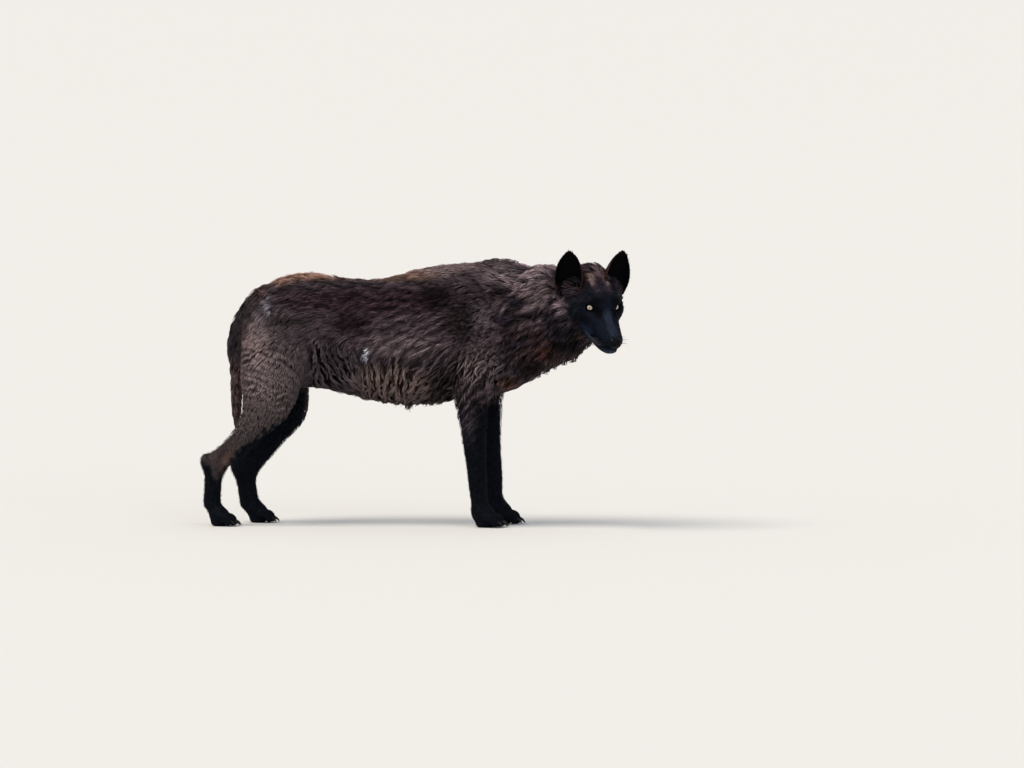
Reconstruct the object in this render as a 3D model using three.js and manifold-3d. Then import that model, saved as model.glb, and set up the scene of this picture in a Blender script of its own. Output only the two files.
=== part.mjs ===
// A life-size grey wolf of the black phase, in a thin moulting spring coat. It stands four-square with
// the hind legs set back, the tail hanging, and the head turned to its right and lowered.
//
// Millimetres. +X runs from tail to chest, +Y to the animal's left, +Z up, and the soles stand on Z = 0.
// The body is one smooth field of distances, built from named masses of muscle and coat that melt into
// one another. Each part is meshed from that field at its own fineness and parted by thin plane cuts.

import * as THREE from "three";
import { mergeVertices } from "three/addons/utils/BufferGeometryUtils.js";
import Module from "manifold-3d";

const wasm = await Module();
wasm.setup();

// ---- Driving dimensions ------------------------------------------------------------------------

const SEAM = 0.3; // width of the thin cut between two parts
const FAR = 1000; // a distance larger than the animal
// The mesh's cells in each kind of part, along x, y and z: long where the form runs straight.
const CELL = {
  trunk: [60, 38, 38],
  neck: [38, 37, 39],
  head: [21, 21, 21],
  nose: [11, 11, 11],
  tail: [19, 19, 34],
  thigh: [35, 29, 40],
  foreleg: [19, 19, 44],
  shank: [20, 20, 28],
  paw: [14, 14, 13],
};

const HEAD_HEADING = THREE.MathUtils.degToRad(-61); // the way the face looks, from +X, seen from above
const HEAD_PITCH = THREE.MathUtils.degToRad(32); // how far the muzzle points down
const EYES_MIDDLE = new THREE.Vector3(608, -212, 648); // between the eyes, where the head is measured from
const EYE = { radius: 12.5, forward: -8.3, aside: 38.7, up: -6.4 }; // each eyeball, from that middle
const GAZE = { forward: 0.8, aside: 0.47, up: 0.3 }; // the way out of the head through each eye
const LIDS = { deep: 16, halfLong: 12.5, halfHigh: 8.5 }; // the opening between the lids

// The last ring of an ear has the breadth its shape has at the share "last", but is never under "tip".
const EAR = { height: 122, halfWidth: 44, thick: 9, tip: 3, last: 0.985, rings: 10, around: 7 };

// ---- Fields of distance ------------------------------------------------------------------------

const at = (x, y, z) => new THREE.Vector3(x, y, z);

// Joins two distances with a fillet of about the given width.
function melt(a, b, width) {
  const near = Math.max(width - Math.abs(a - b), 0) / width;
  return Math.min(a, b) - (near * near * width) / 4;
}

// Cuts field b's inside out of field a, with a rounded rim.
const carve = (a, b, width) => -melt(-a, b, width);

// A solid from a flat list of coordinates and a flat list of corners.
const solidFrom = (coordinates, corners) =>
  new wasm.Manifold(
    new wasm.Mesh({
      numProp: 3,
      vertProperties: new Float32Array(coordinates),
      triVerts: new Uint32Array(corners),
    }),
  );

// Distance to the surface of an ellipsoid with half-axes r, from a point given along those axes.
function roundDistance(x, y, z, rx, ry, rz) {
  const k0 = Math.hypot(x / rx, y / ry, z / rz);
  const k1 = Math.hypot(x / (rx * rx), y / (ry * ry), z / (rz * rz));
  return k1 < 1e-9 ? -Math.min(rx, ry, rz) : (k0 * (k0 - 1)) / k1;
}

// A rounded length of flesh along a smooth line. Each station is [x, y, z, depth, breadth]: its middle,
// and its half-sizes across the line, breadth along the side direction and depth square to it.
const STEPS = 3; // straight lengths between two stations
function sweep(stations, { side = at(0, 1, 0), fillet = 40 } = {}) {
  const stops = stations.map(([x, y, z]) => at(x, y, z));
  const line = new THREE.CatmullRomCurve3(stops, false, "catmullrom", 0.5);
  const girth = new THREE.CatmullRomCurve3(stations.map((s) => at(s[3], s[4], 0)), false, "catmullrom", 0.5);
  const steps = (stations.length - 1) * STEPS;
  const places = Array.from({ length: steps + 1 }, (_, i) => line.getPoint(i / steps));
  const girths = Array.from({ length: steps + 1 }, (_, i) => girth.getPoint(i / steps));
  const lengths = [];
  for (let i = 0; i < steps; i++) {
    const along = places[i + 1].clone().sub(places[i]);
    const length = along.length();
    along.normalize();
    const across = side.clone().addScaledVector(along, -side.dot(along)).normalize();
    const up = along.clone().cross(across);
    lengths.push({ from: places[i], length, along, across, up, a: girths[i], b: girths[i + 1] });
  }
  const reach = Math.max(...stations.map((s) => Math.max(s[3], s[4])));
  const box = new THREE.Box3().setFromPoints(places).expandByScalar(reach);
  const rel = at(0, 0, 0);
  return {
    fillet,
    box,
    distance(p) {
      let best = FAR;
      for (const s of lengths) {
        rel.copy(p).sub(s.from);
        const way = rel.dot(s.along);
        const t = THREE.MathUtils.clamp(way / s.length, 0, 1);
        const deep = s.a.x + (s.b.x - s.a.x) * t;
        const broad = s.a.y + (s.b.y - s.a.y) * t;
        const past = way - t * s.length;
        const d = roundDistance(past, rel.dot(s.across), rel.dot(s.up), Math.min(deep, broad), broad, deep);
        best = Math.min(best, d);
      }
      return best;
    },
  };
}

// An egg-shaped mass. Its half-sizes are along the way it points, along its side, and square to both.
function mass(middle, sizes, { along = at(1, 0, 0), side = at(0, 1, 0), fillet = 40 } = {}) {
  const way = along.clone().normalize();
  const across = side.clone().addScaledVector(way, -side.dot(way)).normalize();
  const up = way.clone().cross(across);
  const box = new THREE.Box3().setFromCenterAndSize(middle, at(2, 2, 2).multiplyScalar(Math.max(...sizes)));
  const rel = at(0, 0, 0);
  return {
    fillet,
    box,
    distance(p) {
      rel.copy(p).sub(middle);
      return roundDistance(rel.dot(way), rel.dot(across), rel.dot(up), sizes[0], sizes[1], sizes[2]);
    },
  };
}

// All of the masses melted together, read at a point. Masses far from the point are skipped.
function melted(masses, p) {
  let d = FAR;
  for (const m of masses) {
    if (m.box.distanceToPoint(p) < 1.5 * m.fillet) d = melt(d, m.distance(p), m.fillet);
  }
  return d;
}

// ---- The head's own frame ----------------------------------------------------------------------

const HEAD = { left: at(-Math.sin(HEAD_HEADING), Math.cos(HEAD_HEADING), 0) };
HEAD.forward = at(Math.cos(HEAD_HEADING), Math.sin(HEAD_HEADING), 0).applyAxisAngle(HEAD.left, HEAD_PITCH);
HEAD.up = HEAD.forward.clone().cross(HEAD.left);

// A place on the head: forward of the eyes, to the animal's left of its middle, and above the eyes.
const onHead = (forward, left, up) =>
  EYES_MIDDLE.clone()
    .addScaledVector(HEAD.forward, forward)
    .addScaledVector(HEAD.left, left)
    .addScaledVector(HEAD.up, up);

const headStation = (forward, left, up, deep, broad) => [...onHead(forward, left, up).toArray(), deep, broad];
const HEAD_LIE = { along: HEAD.forward, side: HEAD.left };

// ---- Trunk and neck ----------------------------------------------------------------------------

// A section of the trunk at x, from the height of its back and its belly line.
const barrel = (x, back, belly, broad) => [x, 0, (back + belly) / 2, (back - belly) / 2, broad];

function trunkMasses() {
  const masses = [
    sweep([
      barrel(-392, 664, 480, 58), // rump
      barrel(-340, 722, 420, 94),
      barrel(-275, 738, 396, 107), // top of the croup
      barrel(-200, 727, 392, 104), // tucked-up flank
      barrel(-120, 719, 374, 108),
      barrel(-40, 722, 352, 117),
      barrel(45, 740, 344, 122), // deepest point of the chest
      barrel(125, 759, 358, 120),
      barrel(205, 767, 372, 112),
      barrel(285, 766, 396, 100), // withers
    ], { fillet: 30 }),
    mass(at(310, 0, 493), [78, 78, 92], { along: at(1, 0, 0.35), fillet: 60 }), // breast
    mass(at(-394, 0, 560), [66, 76, 88], { fillet: 50 }), // seat
    mass(at(300, 0, 735), [60, 46, 34], { fillet: 40 }), // mane over the withers
  ];
  for (const y of [-1, 1]) {
    masses.push(
      mass(at(232, y * 84, 640), [118, 34, 58], { along: at(0.42, 0, -1), fillet: 60 }), // shoulder blade
      mass(at(258, y * 88, 476), [94, 42, 76], { along: at(0.25, 0, 1), fillet: 55 }), // upper arm
    );
  }
  return masses;
}

function neckMasses() {
  return [
    sweep([
      [282, 0, 590, 168, 104],
      [352, -10, 598, 158, 106],
      [420, -38, 616, 148, 104],
      [480, -72, 628, 134, 100],
      [524, -100, 654, 106, 94],
      [552, -122, 680, 84, 84],
    ], { side: at(0.45, 0.89, 0), fillet: 50 }),
    mass(onHead(-114, 0, 30), [44, 52, 33], { ...HEAD_LIE, fillet: 45 }), // mane behind the ears
  ];
}

// ---- Head --------------------------------------------------------------------------------------

function headMasses() {
  const masses = [
    mass(onHead(-66, 0, -2), [74, 60, 47], { ...HEAD_LIE, fillet: 30 }), // brain case
    mass(onHead(-12, 0, 5), [40, 40, 25], { ...HEAD_LIE, fillet: 24 }), // forehead
    sweep([
      headStation(0, 0, -26, 34, 50),
      headStation(40, 0, -38, 30, 43),
      headStation(76, 0, -44, 26, 37),
      headStation(105, 0, -46, 22, 31),
      headStation(122, 0, -47, 16, 22),
    ], { side: HEAD.left, fillet: 20 }), // upper jaw and bridge of the nose
    sweep([
      headStation(-58, 0, -70, 28, 52),
      headStation(-8, 0, -77, 26, 48),
      headStation(42, 0, -81, 22, 41),
      headStation(82, 0, -82, 17, 33),
      headStation(103, 0, -83, 11, 23),
    ], { side: HEAD.left, fillet: 14 }), // lower jaw
  ];
  for (const s of [-1, 1]) {
    masses.push(
      mass(onHead(-12, s * 33, 14), [26, 18, 12], { ...HEAD_LIE, fillet: 24 }), // brow
      mass(onHead(-26, s * 47, -12), [46, 19, 20], { ...HEAD_LIE, fillet: 24 }), // cheekbone
      mass(onHead(2, s * 35, -62), [42, 15, 19], { ...HEAD_LIE, fillet: 22 }), // cheek, behind the lips
      mass(onHead(-46, s * 44, -38), [54, 31, 40], { ...HEAD_LIE, fillet: 28 }), // jaw muscle
      mass(onHead(-88, s * 64, -42), [42, 36, 52], { ...HEAD_LIE, fillet: 34 }), // ruff of the cheek
      mass(onHead(-102, s * 64, 2), [26, 36, 24], { ...HEAD_LIE, fillet: 24 }), // root of the ear
    );
  }
  return masses;
}

// Sockets: shallow hollows in front of the eyes, so that the brow and the cheekbone stand round them.
const socketHollows = [-1, 1].map((s) => mass(onHead(18, s * 50, 1), [18, 14, 14.5], HEAD_LIE));
const SOCKETS_REACH = 70; // no hollow lies further than this from the middle of the eyes

// ---- Ears --------------------------------------------------------------------------------------

// An ear stands on its base, runs to its tip, and faces the way its hollow looks. Both are turned a
// little to the right, towards what the animal watches.
function earFrame(base, tip, lookLeft) {
  const along = tip.clone().sub(base).normalize();
  const facing = HEAD.forward.clone().addScaledVector(HEAD.left, lookLeft);
  facing.addScaledVector(along, -facing.dot(along)).normalize();
  return { base, along, facing, across: along.clone().cross(facing) };
}
const EARS = {
  right: earFrame(onHead(-98, -68, -4), onHead(-117, -90, 116), -0.62),
  left: earFrame(onHead(-98, 54, -4), onHead(-117, 83, 116), 0.1),
};

// Half the ear's breadth at a share of its height: full at a third of the way, round at the tip.
const earShape = (rise) => (0.74 + 0.95 * rise - 1.3 * rise ** 2) * Math.sqrt(1 - rise ** 6);

// The ear is a leaf rolled into a trough, closest at its root: each level is an arc of skin with two
// faces. The arc's half-angle opens the trough from the root to the tip. spare thickens it all round.
function earSolid({ base, along, facing, across }, spare) {
  const points = [];
  for (let ring = 0; ring <= EAR.rings; ring++) {
    const rise = ring / EAR.rings;
    const halfWidth = Math.max(EAR.halfWidth * earShape(Math.min(rise, EAR.last)), EAR.tip);
    const halfAngle = THREE.MathUtils.degToRad(115 - 65 * rise);
    const radius = halfWidth / Math.sin(Math.min(halfAngle, Math.PI / 2));
    const halfThick = (EAR.thick / 2) * (1.1 - 0.5 * rise);
    for (const face of [1, -1])
      for (let i = 0; i <= EAR.around; i++) {
        const share = face * ((2 * i) / EAR.around - 1);
        const turn = share * (halfAngle + spare / radius);
        const r = radius + face * (halfThick * Math.cos(share * 1.2) + spare); // thin at its two edges
        points.push(
          base.clone()
            .addScaledVector(along, rise * EAR.height + (ring ? spare : -spare))
            .addScaledVector(across, r * Math.sin(turn))
            .addScaledVector(facing, radius * 0.55 - r * Math.cos(turn)),
        );
      }
  }
  const loop = 2 * (EAR.around + 1);
  const triangles = [];
  for (let ring = 0; ring < EAR.rings; ring++)
    for (let i = 0; i < loop; i++) {
      const [a, b] = [ring * loop + i, ring * loop + ((i + 1) % loop)];
      triangles.push(a, b + loop, b, a, a + loop, b + loop);
    }
  for (let i = 0; i < EAR.around; i++)
    for (const [start, flip] of [[0, false], [EAR.rings * loop, true]]) {
      const quad = [start + i, start + i + 1, start + loop - 2 - i, start + loop - 1 - i];
      const [a, b, c, d] = flip ? quad.reverse() : quad;
      triangles.push(a, b, c, a, c, d);
    }
  return solidFrom(points.flatMap((p) => p.toArray()), triangles);
}

// ---- Tail --------------------------------------------------------------------------------------

// The upper third keeps its winter brush; below that the moulted tail is slim, down to the hock.
function tailMasses() {
  return [
    sweep([
      [-392, 0, 656, 42, 46],
      [-430, 0, 619, 45, 43],
      [-454, 0, 568, 45, 40],
      [-469, 0, 513, 36, 33],
      [-477, 0, 468, 23, 23],
      [-479, 0, 400, 19, 19],
      [-479, 0, 335, 15, 15],
      [-480, 0, 288, 8, 8],
    ], { fillet: 30 }),
  ];
}

// ---- Legs --------------------------------------------------------------------------------------

// The legs of one pair don't stand alike: the left ones are set further forward. s is -1 on the right.
const FORE = {
  right: { s: -1, elbow: 214, wrist: 232, paw: 252 },
  left: { s: 1, elbow: 240, wrist: 263, paw: 288 },
};
const HIND = {
  right: {
    s: -1, side: 86,
    stifle: at(-381, 0, 356), shin: at(-420, 0, 290), gaskin: at(-464, 0, 240),
    hock: at(-535, 0, 178), pastern: at(-542, 0, 66), paw: -520, heel: at(-554, 0, 188), bone: 28,
  },
  left: {
    s: 1, side: 82,
    stifle: at(-352, 0, 336), shin: at(-384, 0, 262), gaskin: at(-424, 0, 206),
    hock: at(-465, 0, 158), pastern: at(-450, 0, 58), paw: -426, heel: at(-483, 0, 166), bone: 31,
  },
};

function forelegMasses({ s, elbow, wrist, paw }) {
  const mid = (elbow + wrist) / 2;
  return [
    sweep([
      [elbow + 8, s * 84, 440, 58, 44],
      [elbow, s * 84, 385, 54, 41],
      [elbow + 5, s * 82, 320, 45, 35],
      [mid, s * 79, 240, 36, 29],
      [wrist - 3, s * 77, 170, 31, 27],
      [wrist, s * 76, 132, 30, 27],
      [wrist + 3, s * 75, 90, 27, 26],
      [paw - 14, s * 75, 52, 26, 27],
    ], { fillet: 34 }),
  ];
}

function hindlegMasses({ s, side, stifle, shin, gaskin, hock, pastern, heel, bone }) {
  const station = (p, inward, deep, broad) => [p.x, s * (side - inward), p.z, deep, broad];
  return [
    sweep([
      [-362, s * (side - 18), 600, 96, 50],
      [-366, s * (side - 2), 515, 93, 55],
      [-368, s * (side + 4), 430, 90, 54],
      station(stifle, -2, 73, 46),
      station(shin, 0, 46, 37),
      station(gaskin, 2, bone + 9, 31),
      station(hock, 4, bone + 6, 27),
    ], { fillet: 36 }),
    sweep([
      station(hock, 4, bone + 6, 27),
      [(hock.x * 0.6 + pastern.x * 0.4), s * (side - 5), hock.z * 0.6 + pastern.z * 0.4, bone, 24],
      station(pastern, 6, bone - 1, 24),
    ], { fillet: 22 }),
    mass(at(heel.x, s * (side - 4), heel.z), [26, 17, 17], { along: at(-0.6, 0, 0.8), fillet: 22 }),
  ];
}

// A paw of four toes on a pad. Its claws are short cones in front of the toes.
function pawMasses(x, y, heading, size) {
  const way = at(Math.cos(heading), Math.sin(heading), 0);
  const out = at(-way.y, way.x, 0);
  const spot = (forward, aside, up) =>
    at(x, y, up * size).addScaledVector(way, forward * size).addScaledVector(out, aside * size);
  const lie = { along: way, side: out };
  const masses = [
    mass(spot(0, 0, 34), [34 * size, 31 * size, 30 * size], { ...lie, fillet: 24 }),
    mass(spot(2, 0, 10), [28 * size, 28 * size, 16 * size], { ...lie, fillet: 14 }),
  ];
  for (const k of [-1.5, -0.5, 0.5, 1.5]) {
    const outer = Math.abs(k) > 1;
    const tip = outer ? 37 : 47;
    masses.push(
      sweep([
        [...spot(tip - 30, k * 17, 30).toArray(), 16 * size, 12.5 * size],
        [...spot(tip - 10, k * 19, 25).toArray(), 16 * size, 11.5 * size],
        [...spot(tip, k * 19, 11).toArray(), 13 * size, 10.5 * size],
      ], { side: out, fillet: 5 }),
      sweep([
        [...spot(tip + 8, k * 19, 15).toArray(), 4.6 * size, 4.2 * size],
        [...spot(tip + 20, k * 19.5, 7).toArray(), 2.4 * size, 2.4 * size],
      ], { side: out, fillet: 4 }),
    );
  }
  return masses;
}

const PAWS = {
  forepaw_right: pawMasses(FORE.right.paw, -76, -0.1, 1),
  forepaw_left: pawMasses(FORE.left.paw, 76, 0.1, 1),
  hindpaw_right: pawMasses(HIND.right.paw, -84, -0.12, 0.92),
  hindpaw_left: pawMasses(HIND.left.paw, 80, 0.12, 0.92),
};

// ---- The whole animal's field ------------------------------------------------------------------

const fleshMasses = [
  ...trunkMasses(), ...neckMasses(), ...headMasses(),
  ...forelegMasses(FORE.right), ...forelegMasses(FORE.left),
  ...hindlegMasses(HIND.right), ...hindlegMasses(HIND.left),
  ...Object.values(PAWS).flat(),
];
const tail = tailMasses();

// The tail grows smoothly out of the croup, and hangs free of the thighs below it.
const TAIL_ROOT = { top: 650, bottom: 590, fillet: 34, free: 3 };

function bodyDistance(p) {
  let d = melted(fleshMasses, p);
  if (p.distanceTo(EYES_MIDDLE) < SOCKETS_REACH) {
    for (const hollow of socketHollows) d = carve(d, hollow.distance(p), 12);
  }
  const rooted = THREE.MathUtils.smoothstep(p.z, TAIL_ROOT.bottom, TAIL_ROOT.top);
  d = melt(d, melted(tail, p), TAIL_ROOT.free + (TAIL_ROOT.fillet - TAIL_ROOT.free) * rooted);
  return d;
}

// ---- Meshing -----------------------------------------------------------------------------------

// Where two solid corners of a grid square meet only across its diagonal, the surface would touch itself
// along an edge. The square's open corners are filled until none is left.
function fillDiagonals(values, count, index, steps) {
  const fill = -1e-3;
  for (let filled = true; filled; ) {
    filled = false;
    for (let k = 1; k < count[2] - 2; k++)
      for (let j = 1; j < count[1] - 2; j++)
        for (let i = 1; i < count[0] - 2; i++)
          for (const axis of [0, 1, 2]) {
            const [u, v] = [steps[(axis + 1) % 3], steps[(axis + 2) % 3]];
            const ring = [[0, 0], [1, 0], [1, 1], [0, 1]].map(([m, n]) =>
              index(i + m * u[0] + n * v[0], j + m * u[1] + n * v[1], k + m * u[2] + n * v[2]));
            const inside = ring.map((c) => values[c] < 0);
            if (inside[0] !== inside[2] || inside[1] !== inside[3] || inside[0] === inside[1]) continue;
            for (const c of ring) values[c] = Math.min(values[c], fill);
            filled = true;
          }
  }
}

// Turns the zero surface of a field inside a box into a closed mesh, by surface nets: one vertex in each
// cell that the surface crosses, one square across each edge of the grid that it crosses.
function meshOf(field, box, cell) {
  const count = box.getSize(at(0, 0, 0)).toArray().map((s, axis) => Math.ceil(s / cell[axis]) + 3);
  const low = box.min.toArray().map((s, axis) => s - cell[axis]);
  const place = (i, j, k) => [low[0] + i * cell[0], low[1] + j * cell[1], low[2] + k * cell[2]];
  const index = (i, j, k) => (k * count[1] + j) * count[0] + i;
  const values = new Float64Array(count[0] * count[1] * count[2]);
  const p = at(0, 0, 0);
  for (let k = 0; k < count[2]; k++)
    for (let j = 0; j < count[1]; j++)
      for (let i = 0; i < count[0]; i++) {
        const rim = [i, j, k].some((n, axis) => n === 0 || n === count[axis] - 1);
        p.set(...place(i, j, k));
        values[index(i, j, k)] = rim ? Math.max(field(p), cell[0] / 2) : field(p);
      }
  const steps = [[1, 0, 0], [0, 1, 0], [0, 0, 1]];
  fillDiagonals(values, count, index, steps);
  const corners = [0, 1, 2, 3, 4, 5, 6, 7].map((c) => [c & 1, (c >> 1) & 1, c >> 2]);
  const cellVertex = new Int32Array(values.length).fill(-1);
  const vertices = [];
  for (let k = 0; k < count[2] - 1; k++)
    for (let j = 0; j < count[1] - 1; j++)
      for (let i = 0; i < count[0] - 1; i++) {
        const sum = [0, 0, 0];
        let crossings = 0;
        for (const [a, b, c] of corners)
          for (const [axis, [da, db, dc]] of steps.entries()) {
            if ([a, b, c][axis]) continue;
            const u = values[index(i + a, j + b, k + c)];
            const w = values[index(i + a + da, j + b + db, k + c + dc)];
            if (u < 0 === w < 0) continue;
            const t = u / (u - w);
            [i + a + da * t, j + b + db * t, k + c + dc * t].forEach((x, n) => (sum[n] += x));
            crossings++;
          }
        if (!crossings) continue;
        cellVertex[index(i, j, k)] = vertices.length / 3;
        vertices.push(...place(...sum.map((x) => x / crossings)));
      }
  const triangles = [];
  for (let k = 0; k < count[2] - 1; k++)
    for (let j = 0; j < count[1] - 1; j++)
      for (let i = 0; i < count[0] - 1; i++)
        for (const [axis, [da, db, dc]] of steps.entries()) {
          const here = values[index(i, j, k)] < 0;
          if (here === values[index(i + da, j + db, k + dc)] < 0) continue;
          const [s1, s2] = [steps[(axis + 1) % 3], steps[(axis + 2) % 3]];
          const cellAt = (m, n) => [i, j, k].map((place, dim) => place - m * s1[dim] - n * s2[dim]);
          const [a, b, c, d] = [[0, 0], [1, 0], [1, 1], [0, 1]].map(([m, n]) =>
            cellVertex[index(...cellAt(m, n))]);
          triangles.push(...(here ? [a, b, c, a, c, d] : [a, c, b, a, d, c]));
        }
  return solidFrom(vertices, triangles);
}

// A closed three.js geometry as a solid for cutting.
function solidOf(geometry) {
  const bare = geometry.clone();
  bare.deleteAttribute("normal");
  bare.deleteAttribute("uv");
  const merged = mergeVertices(bare, 1e-4);
  return solidFrom(merged.attributes.position.array, merged.index.array);
}

// The half of space behind a plane, as a great block, kept half a seam away from the plane.
function behind(point, normal) {
  const block = new THREE.BoxGeometry(2 * FAR, 2 * FAR, 2 * FAR).translate(0, 0, -FAR - SEAM / 2);
  const turn = new THREE.Quaternion().setFromUnitVectors(at(0, 0, 1), normal.clone().normalize());
  return solidOf(block.applyQuaternion(turn).translate(point.x, point.y, point.z));
}

// ---- Parting the body --------------------------------------------------------------------------

const planeOf = (point, normal) => ({ point, normal });
const CUTS = {
  neckFromTrunk: planeOf(at(352, -10, 588), at(0.86, -0.28, 0.34)),
  headFromNeck: planeOf(onHead(-118, 0, 0), HEAD.forward.clone().addScaledVector(HEAD.up, 0.32)),
  noseFromHead: planeOf(onHead(111, 0, -40), HEAD.forward.clone().addScaledVector(HEAD.up, 0.25)),
  thighFromTrunk: planeOf(at(-322, 0, 492), at(-0.72, 0, -0.86)),
};
const PAW_TOP = 74;
const FORE_BLOCK = { x: [148, 345], y: [44, 200], z: [-20, 394] }; // holds a foreleg, below the chest
const TAIL_BLOCK = { x: [-560, -449], y: [-56, 56], z: [240, 668] }; // holds the tail, behind the seat

const before = ({ point, normal }) => behind(point, normal);
const past = ({ point, normal }) => behind(point, normal.clone().negate());
const below = (z) => behind(at(0, 0, z), at(0, 0, 1));
const above = (z) => behind(at(0, 0, z), at(0, 0, -1));
const onSide = (s) => behind(at(0, 0, 0), at(0, -s, 0));

// A block of space. Grown by half a seam it is what to cut away, shrunk by half a seam what to keep.
function blockOf({ x, y, z }, s, grow) {
  const [y0, y1] = s < 0 ? [-y[1], -y[0]] : y;
  return solidOf(
    new THREE.BoxGeometry(x[1] - x[0] + 2 * grow, y1 - y0 + 2 * grow, z[1] - z[0] + 2 * grow)
      .translate((x[0] + x[1]) / 2, (y0 + y1) / 2, (z[0] + z[1]) / 2),
  );
}

const boxOf = (x0, x1, y0, y1, z0, z1) => new THREE.Box3(at(x0, y0, z0), at(x1, y1, z1));
const meshed = (box, cell, ...regions) =>
  regions.reduce((left, region) => left.intersect(region), meshOf(bodyDistance, box, cell));
const largest = (solid) => solid.decompose().sort((a, b) => b.volume() - a.volume())[0];

const pieces = {};
const EDGE = SEAM / 2;

pieces.trunk = meshed(
  boxOf(-560, 480, -190, 190, 320, 800), CELL.trunk, before(CUTS.neckFromTrunk), before(CUTS.thighFromTrunk))
  .subtract(blockOf(FORE_BLOCK, 1, EDGE))
  .subtract(blockOf(FORE_BLOCK, -1, EDGE))
  .subtract(blockOf(TAIL_BLOCK, 1, EDGE));

pieces.neck = meshed(
  boxOf(240, 680, -300, 160, 400, 830), CELL.neck, past(CUTS.neckFromTrunk), before(CUTS.headFromNeck))
  .subtract(blockOf(FORE_BLOCK, 1, EDGE))
  .subtract(blockOf(FORE_BLOCK, -1, EDGE));

pieces.head = meshed(
  boxOf(440, 730, -400, -60, 450, 850), CELL.head, past(CUTS.headFromNeck), before(CUTS.noseFromHead));
// An eyeball, or the hollow it sits in, and the opening that the lids leave in front of it.
const ballPlaced = (matrix) => solidOf(new THREE.SphereGeometry(1, 12, 8).applyMatrix4(matrix));
const eyeball = (s, radius) =>
  ballPlaced(new THREE.Matrix4()
    .makeScale(radius, radius, radius)
    .setPosition(onHead(EYE.forward, s * EYE.aside, EYE.up)));
function lidOpening(s) {
  const out = onHead(GAZE.forward, s * GAZE.aside, GAZE.up).sub(EYES_MIDDLE).normalize();
  const long = HEAD.up.clone().cross(out).normalize();
  const high = out.clone().cross(long);
  const front = onHead(EYE.forward, s * EYE.aside, EYE.up).addScaledVector(out, EYE.radius);
  return ballPlaced(new THREE.Matrix4()
    .makeBasis(out, long, high)
    .scale(at(LIDS.deep, LIDS.halfLong, LIDS.halfHigh))
    .setPosition(front));
}

const noseBox = new THREE.Box3().setFromCenterAndSize(onHead(117, 0, -42), at(90, 90, 90));
pieces.nose = meshed(noseBox, CELL.nose, past(CUTS.noseFromHead));

for (const [side, s] of [["right", -1], ["left", 1]]) {
  pieces["ear_" + side] = earSolid(EARS[side], 0);
  pieces.head = pieces.head.subtract(earSolid(EARS[side], SEAM));
  pieces.neck = pieces.neck.subtract(earSolid(EARS[side], SEAM));
  pieces["eye_" + side] = eyeball(s, EYE.radius);
  pieces.head = pieces.head.subtract(eyeball(s, EYE.radius + SEAM)).subtract(lidOpening(s));

  const [y0, y1] = s < 0 ? [-190, 4] : [-4, 190];
  pieces["foreleg_" + side] = meshed(
    boxOf(120, 400, y0, y1, 40, 430), CELL.foreleg, blockOf(FORE_BLOCK, s, -EDGE), above(PAW_TOP));
  const leg = HIND[side];
  const shankCut = planeOf(leg.gaskin, at(-0.75, 0, -0.66));
  pieces["thigh_" + side] = meshed(
    boxOf(-540, -200, y0, y1, 150, 740), CELL.thigh, onSide(s), past(CUTS.thighFromTrunk), before(shankCut))
    .subtract(blockOf(TAIL_BLOCK, 1, EDGE));
  pieces["shank_" + side] = meshed(
    boxOf(-620, -360, y0 + s * 20, y1 + s * 20, 40, 300), CELL.shank,
    onSide(s), past(shankCut), above(PAW_TOP))
    .subtract(blockOf(TAIL_BLOCK, 1, EDGE));
}

for (const [name, masses] of Object.entries(PAWS)) {
  const box = masses.reduce((all, m) => all.union(m.box), new THREE.Box3());
  box.min.z = -20;
  box.max.z = PAW_TOP + 15;
  box.expandByVector(at(6, 6, 0));
  pieces[name] = meshed(box, CELL.paw, below(PAW_TOP), above(-EDGE)); // cut flat at the soles
}

pieces.tail = meshed(boxOf(-560, -400, -70, 70, 260, 720), CELL.tail, blockOf(TAIL_BLOCK, 1, -EDGE));

// ---- Materials and the model -------------------------------------------------------------------

const coat = (color, roughness = 0.9) => new THREE.MeshStandardMaterial({ color, roughness, metalness: 0 });
const MATERIALS = {
  brown: coat("#3d3237"),
  rust: coat("#4d3831"),
  black: coat("#14161d"),
  leather: coat("#0b0c0f", 0.45),
  iris: coat("#cdb98a", 0.1),
};
const finishOf = (name) => {
  if (name.startsWith("eye")) return MATERIALS.iris;
  if (name === "nose") return MATERIALS.leather;
  if (name === "tail") return MATERIALS.rust;
  return /^(head|ear|foreleg|shank|forepaw|hindpaw)/.test(name) ? MATERIALS.black : MATERIALS.brown;
};

const wolf = new THREE.Group();
for (const [name, solid] of Object.entries(pieces)) {
  const { numProp, vertProperties, triVerts } = largest(solid).getMesh();
  const points = Float32Array.from({ length: (vertProperties.length / numProp) * 3 }, (_, i) =>
    vertProperties[Math.floor(i / 3) * numProp + (i % 3)]);
  const geometry = new THREE.BufferGeometry();
  geometry.setAttribute("position", new THREE.BufferAttribute(points, 3));
  geometry.setIndex(new THREE.BufferAttribute(triVerts, 1));
  geometry.computeVertexNormals();
  const mesh = new THREE.Mesh(geometry, finishOf(name));
  mesh.name = name;
  wolf.add(mesh);
}
// The origin is on the floor, under the middle of the whole animal's box.
const middle = new THREE.Box3().setFromObject(wolf).getCenter(at(0, 0, 0));
wolf.position.set(-middle.x, -middle.y, 0);

export default wolf;
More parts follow.
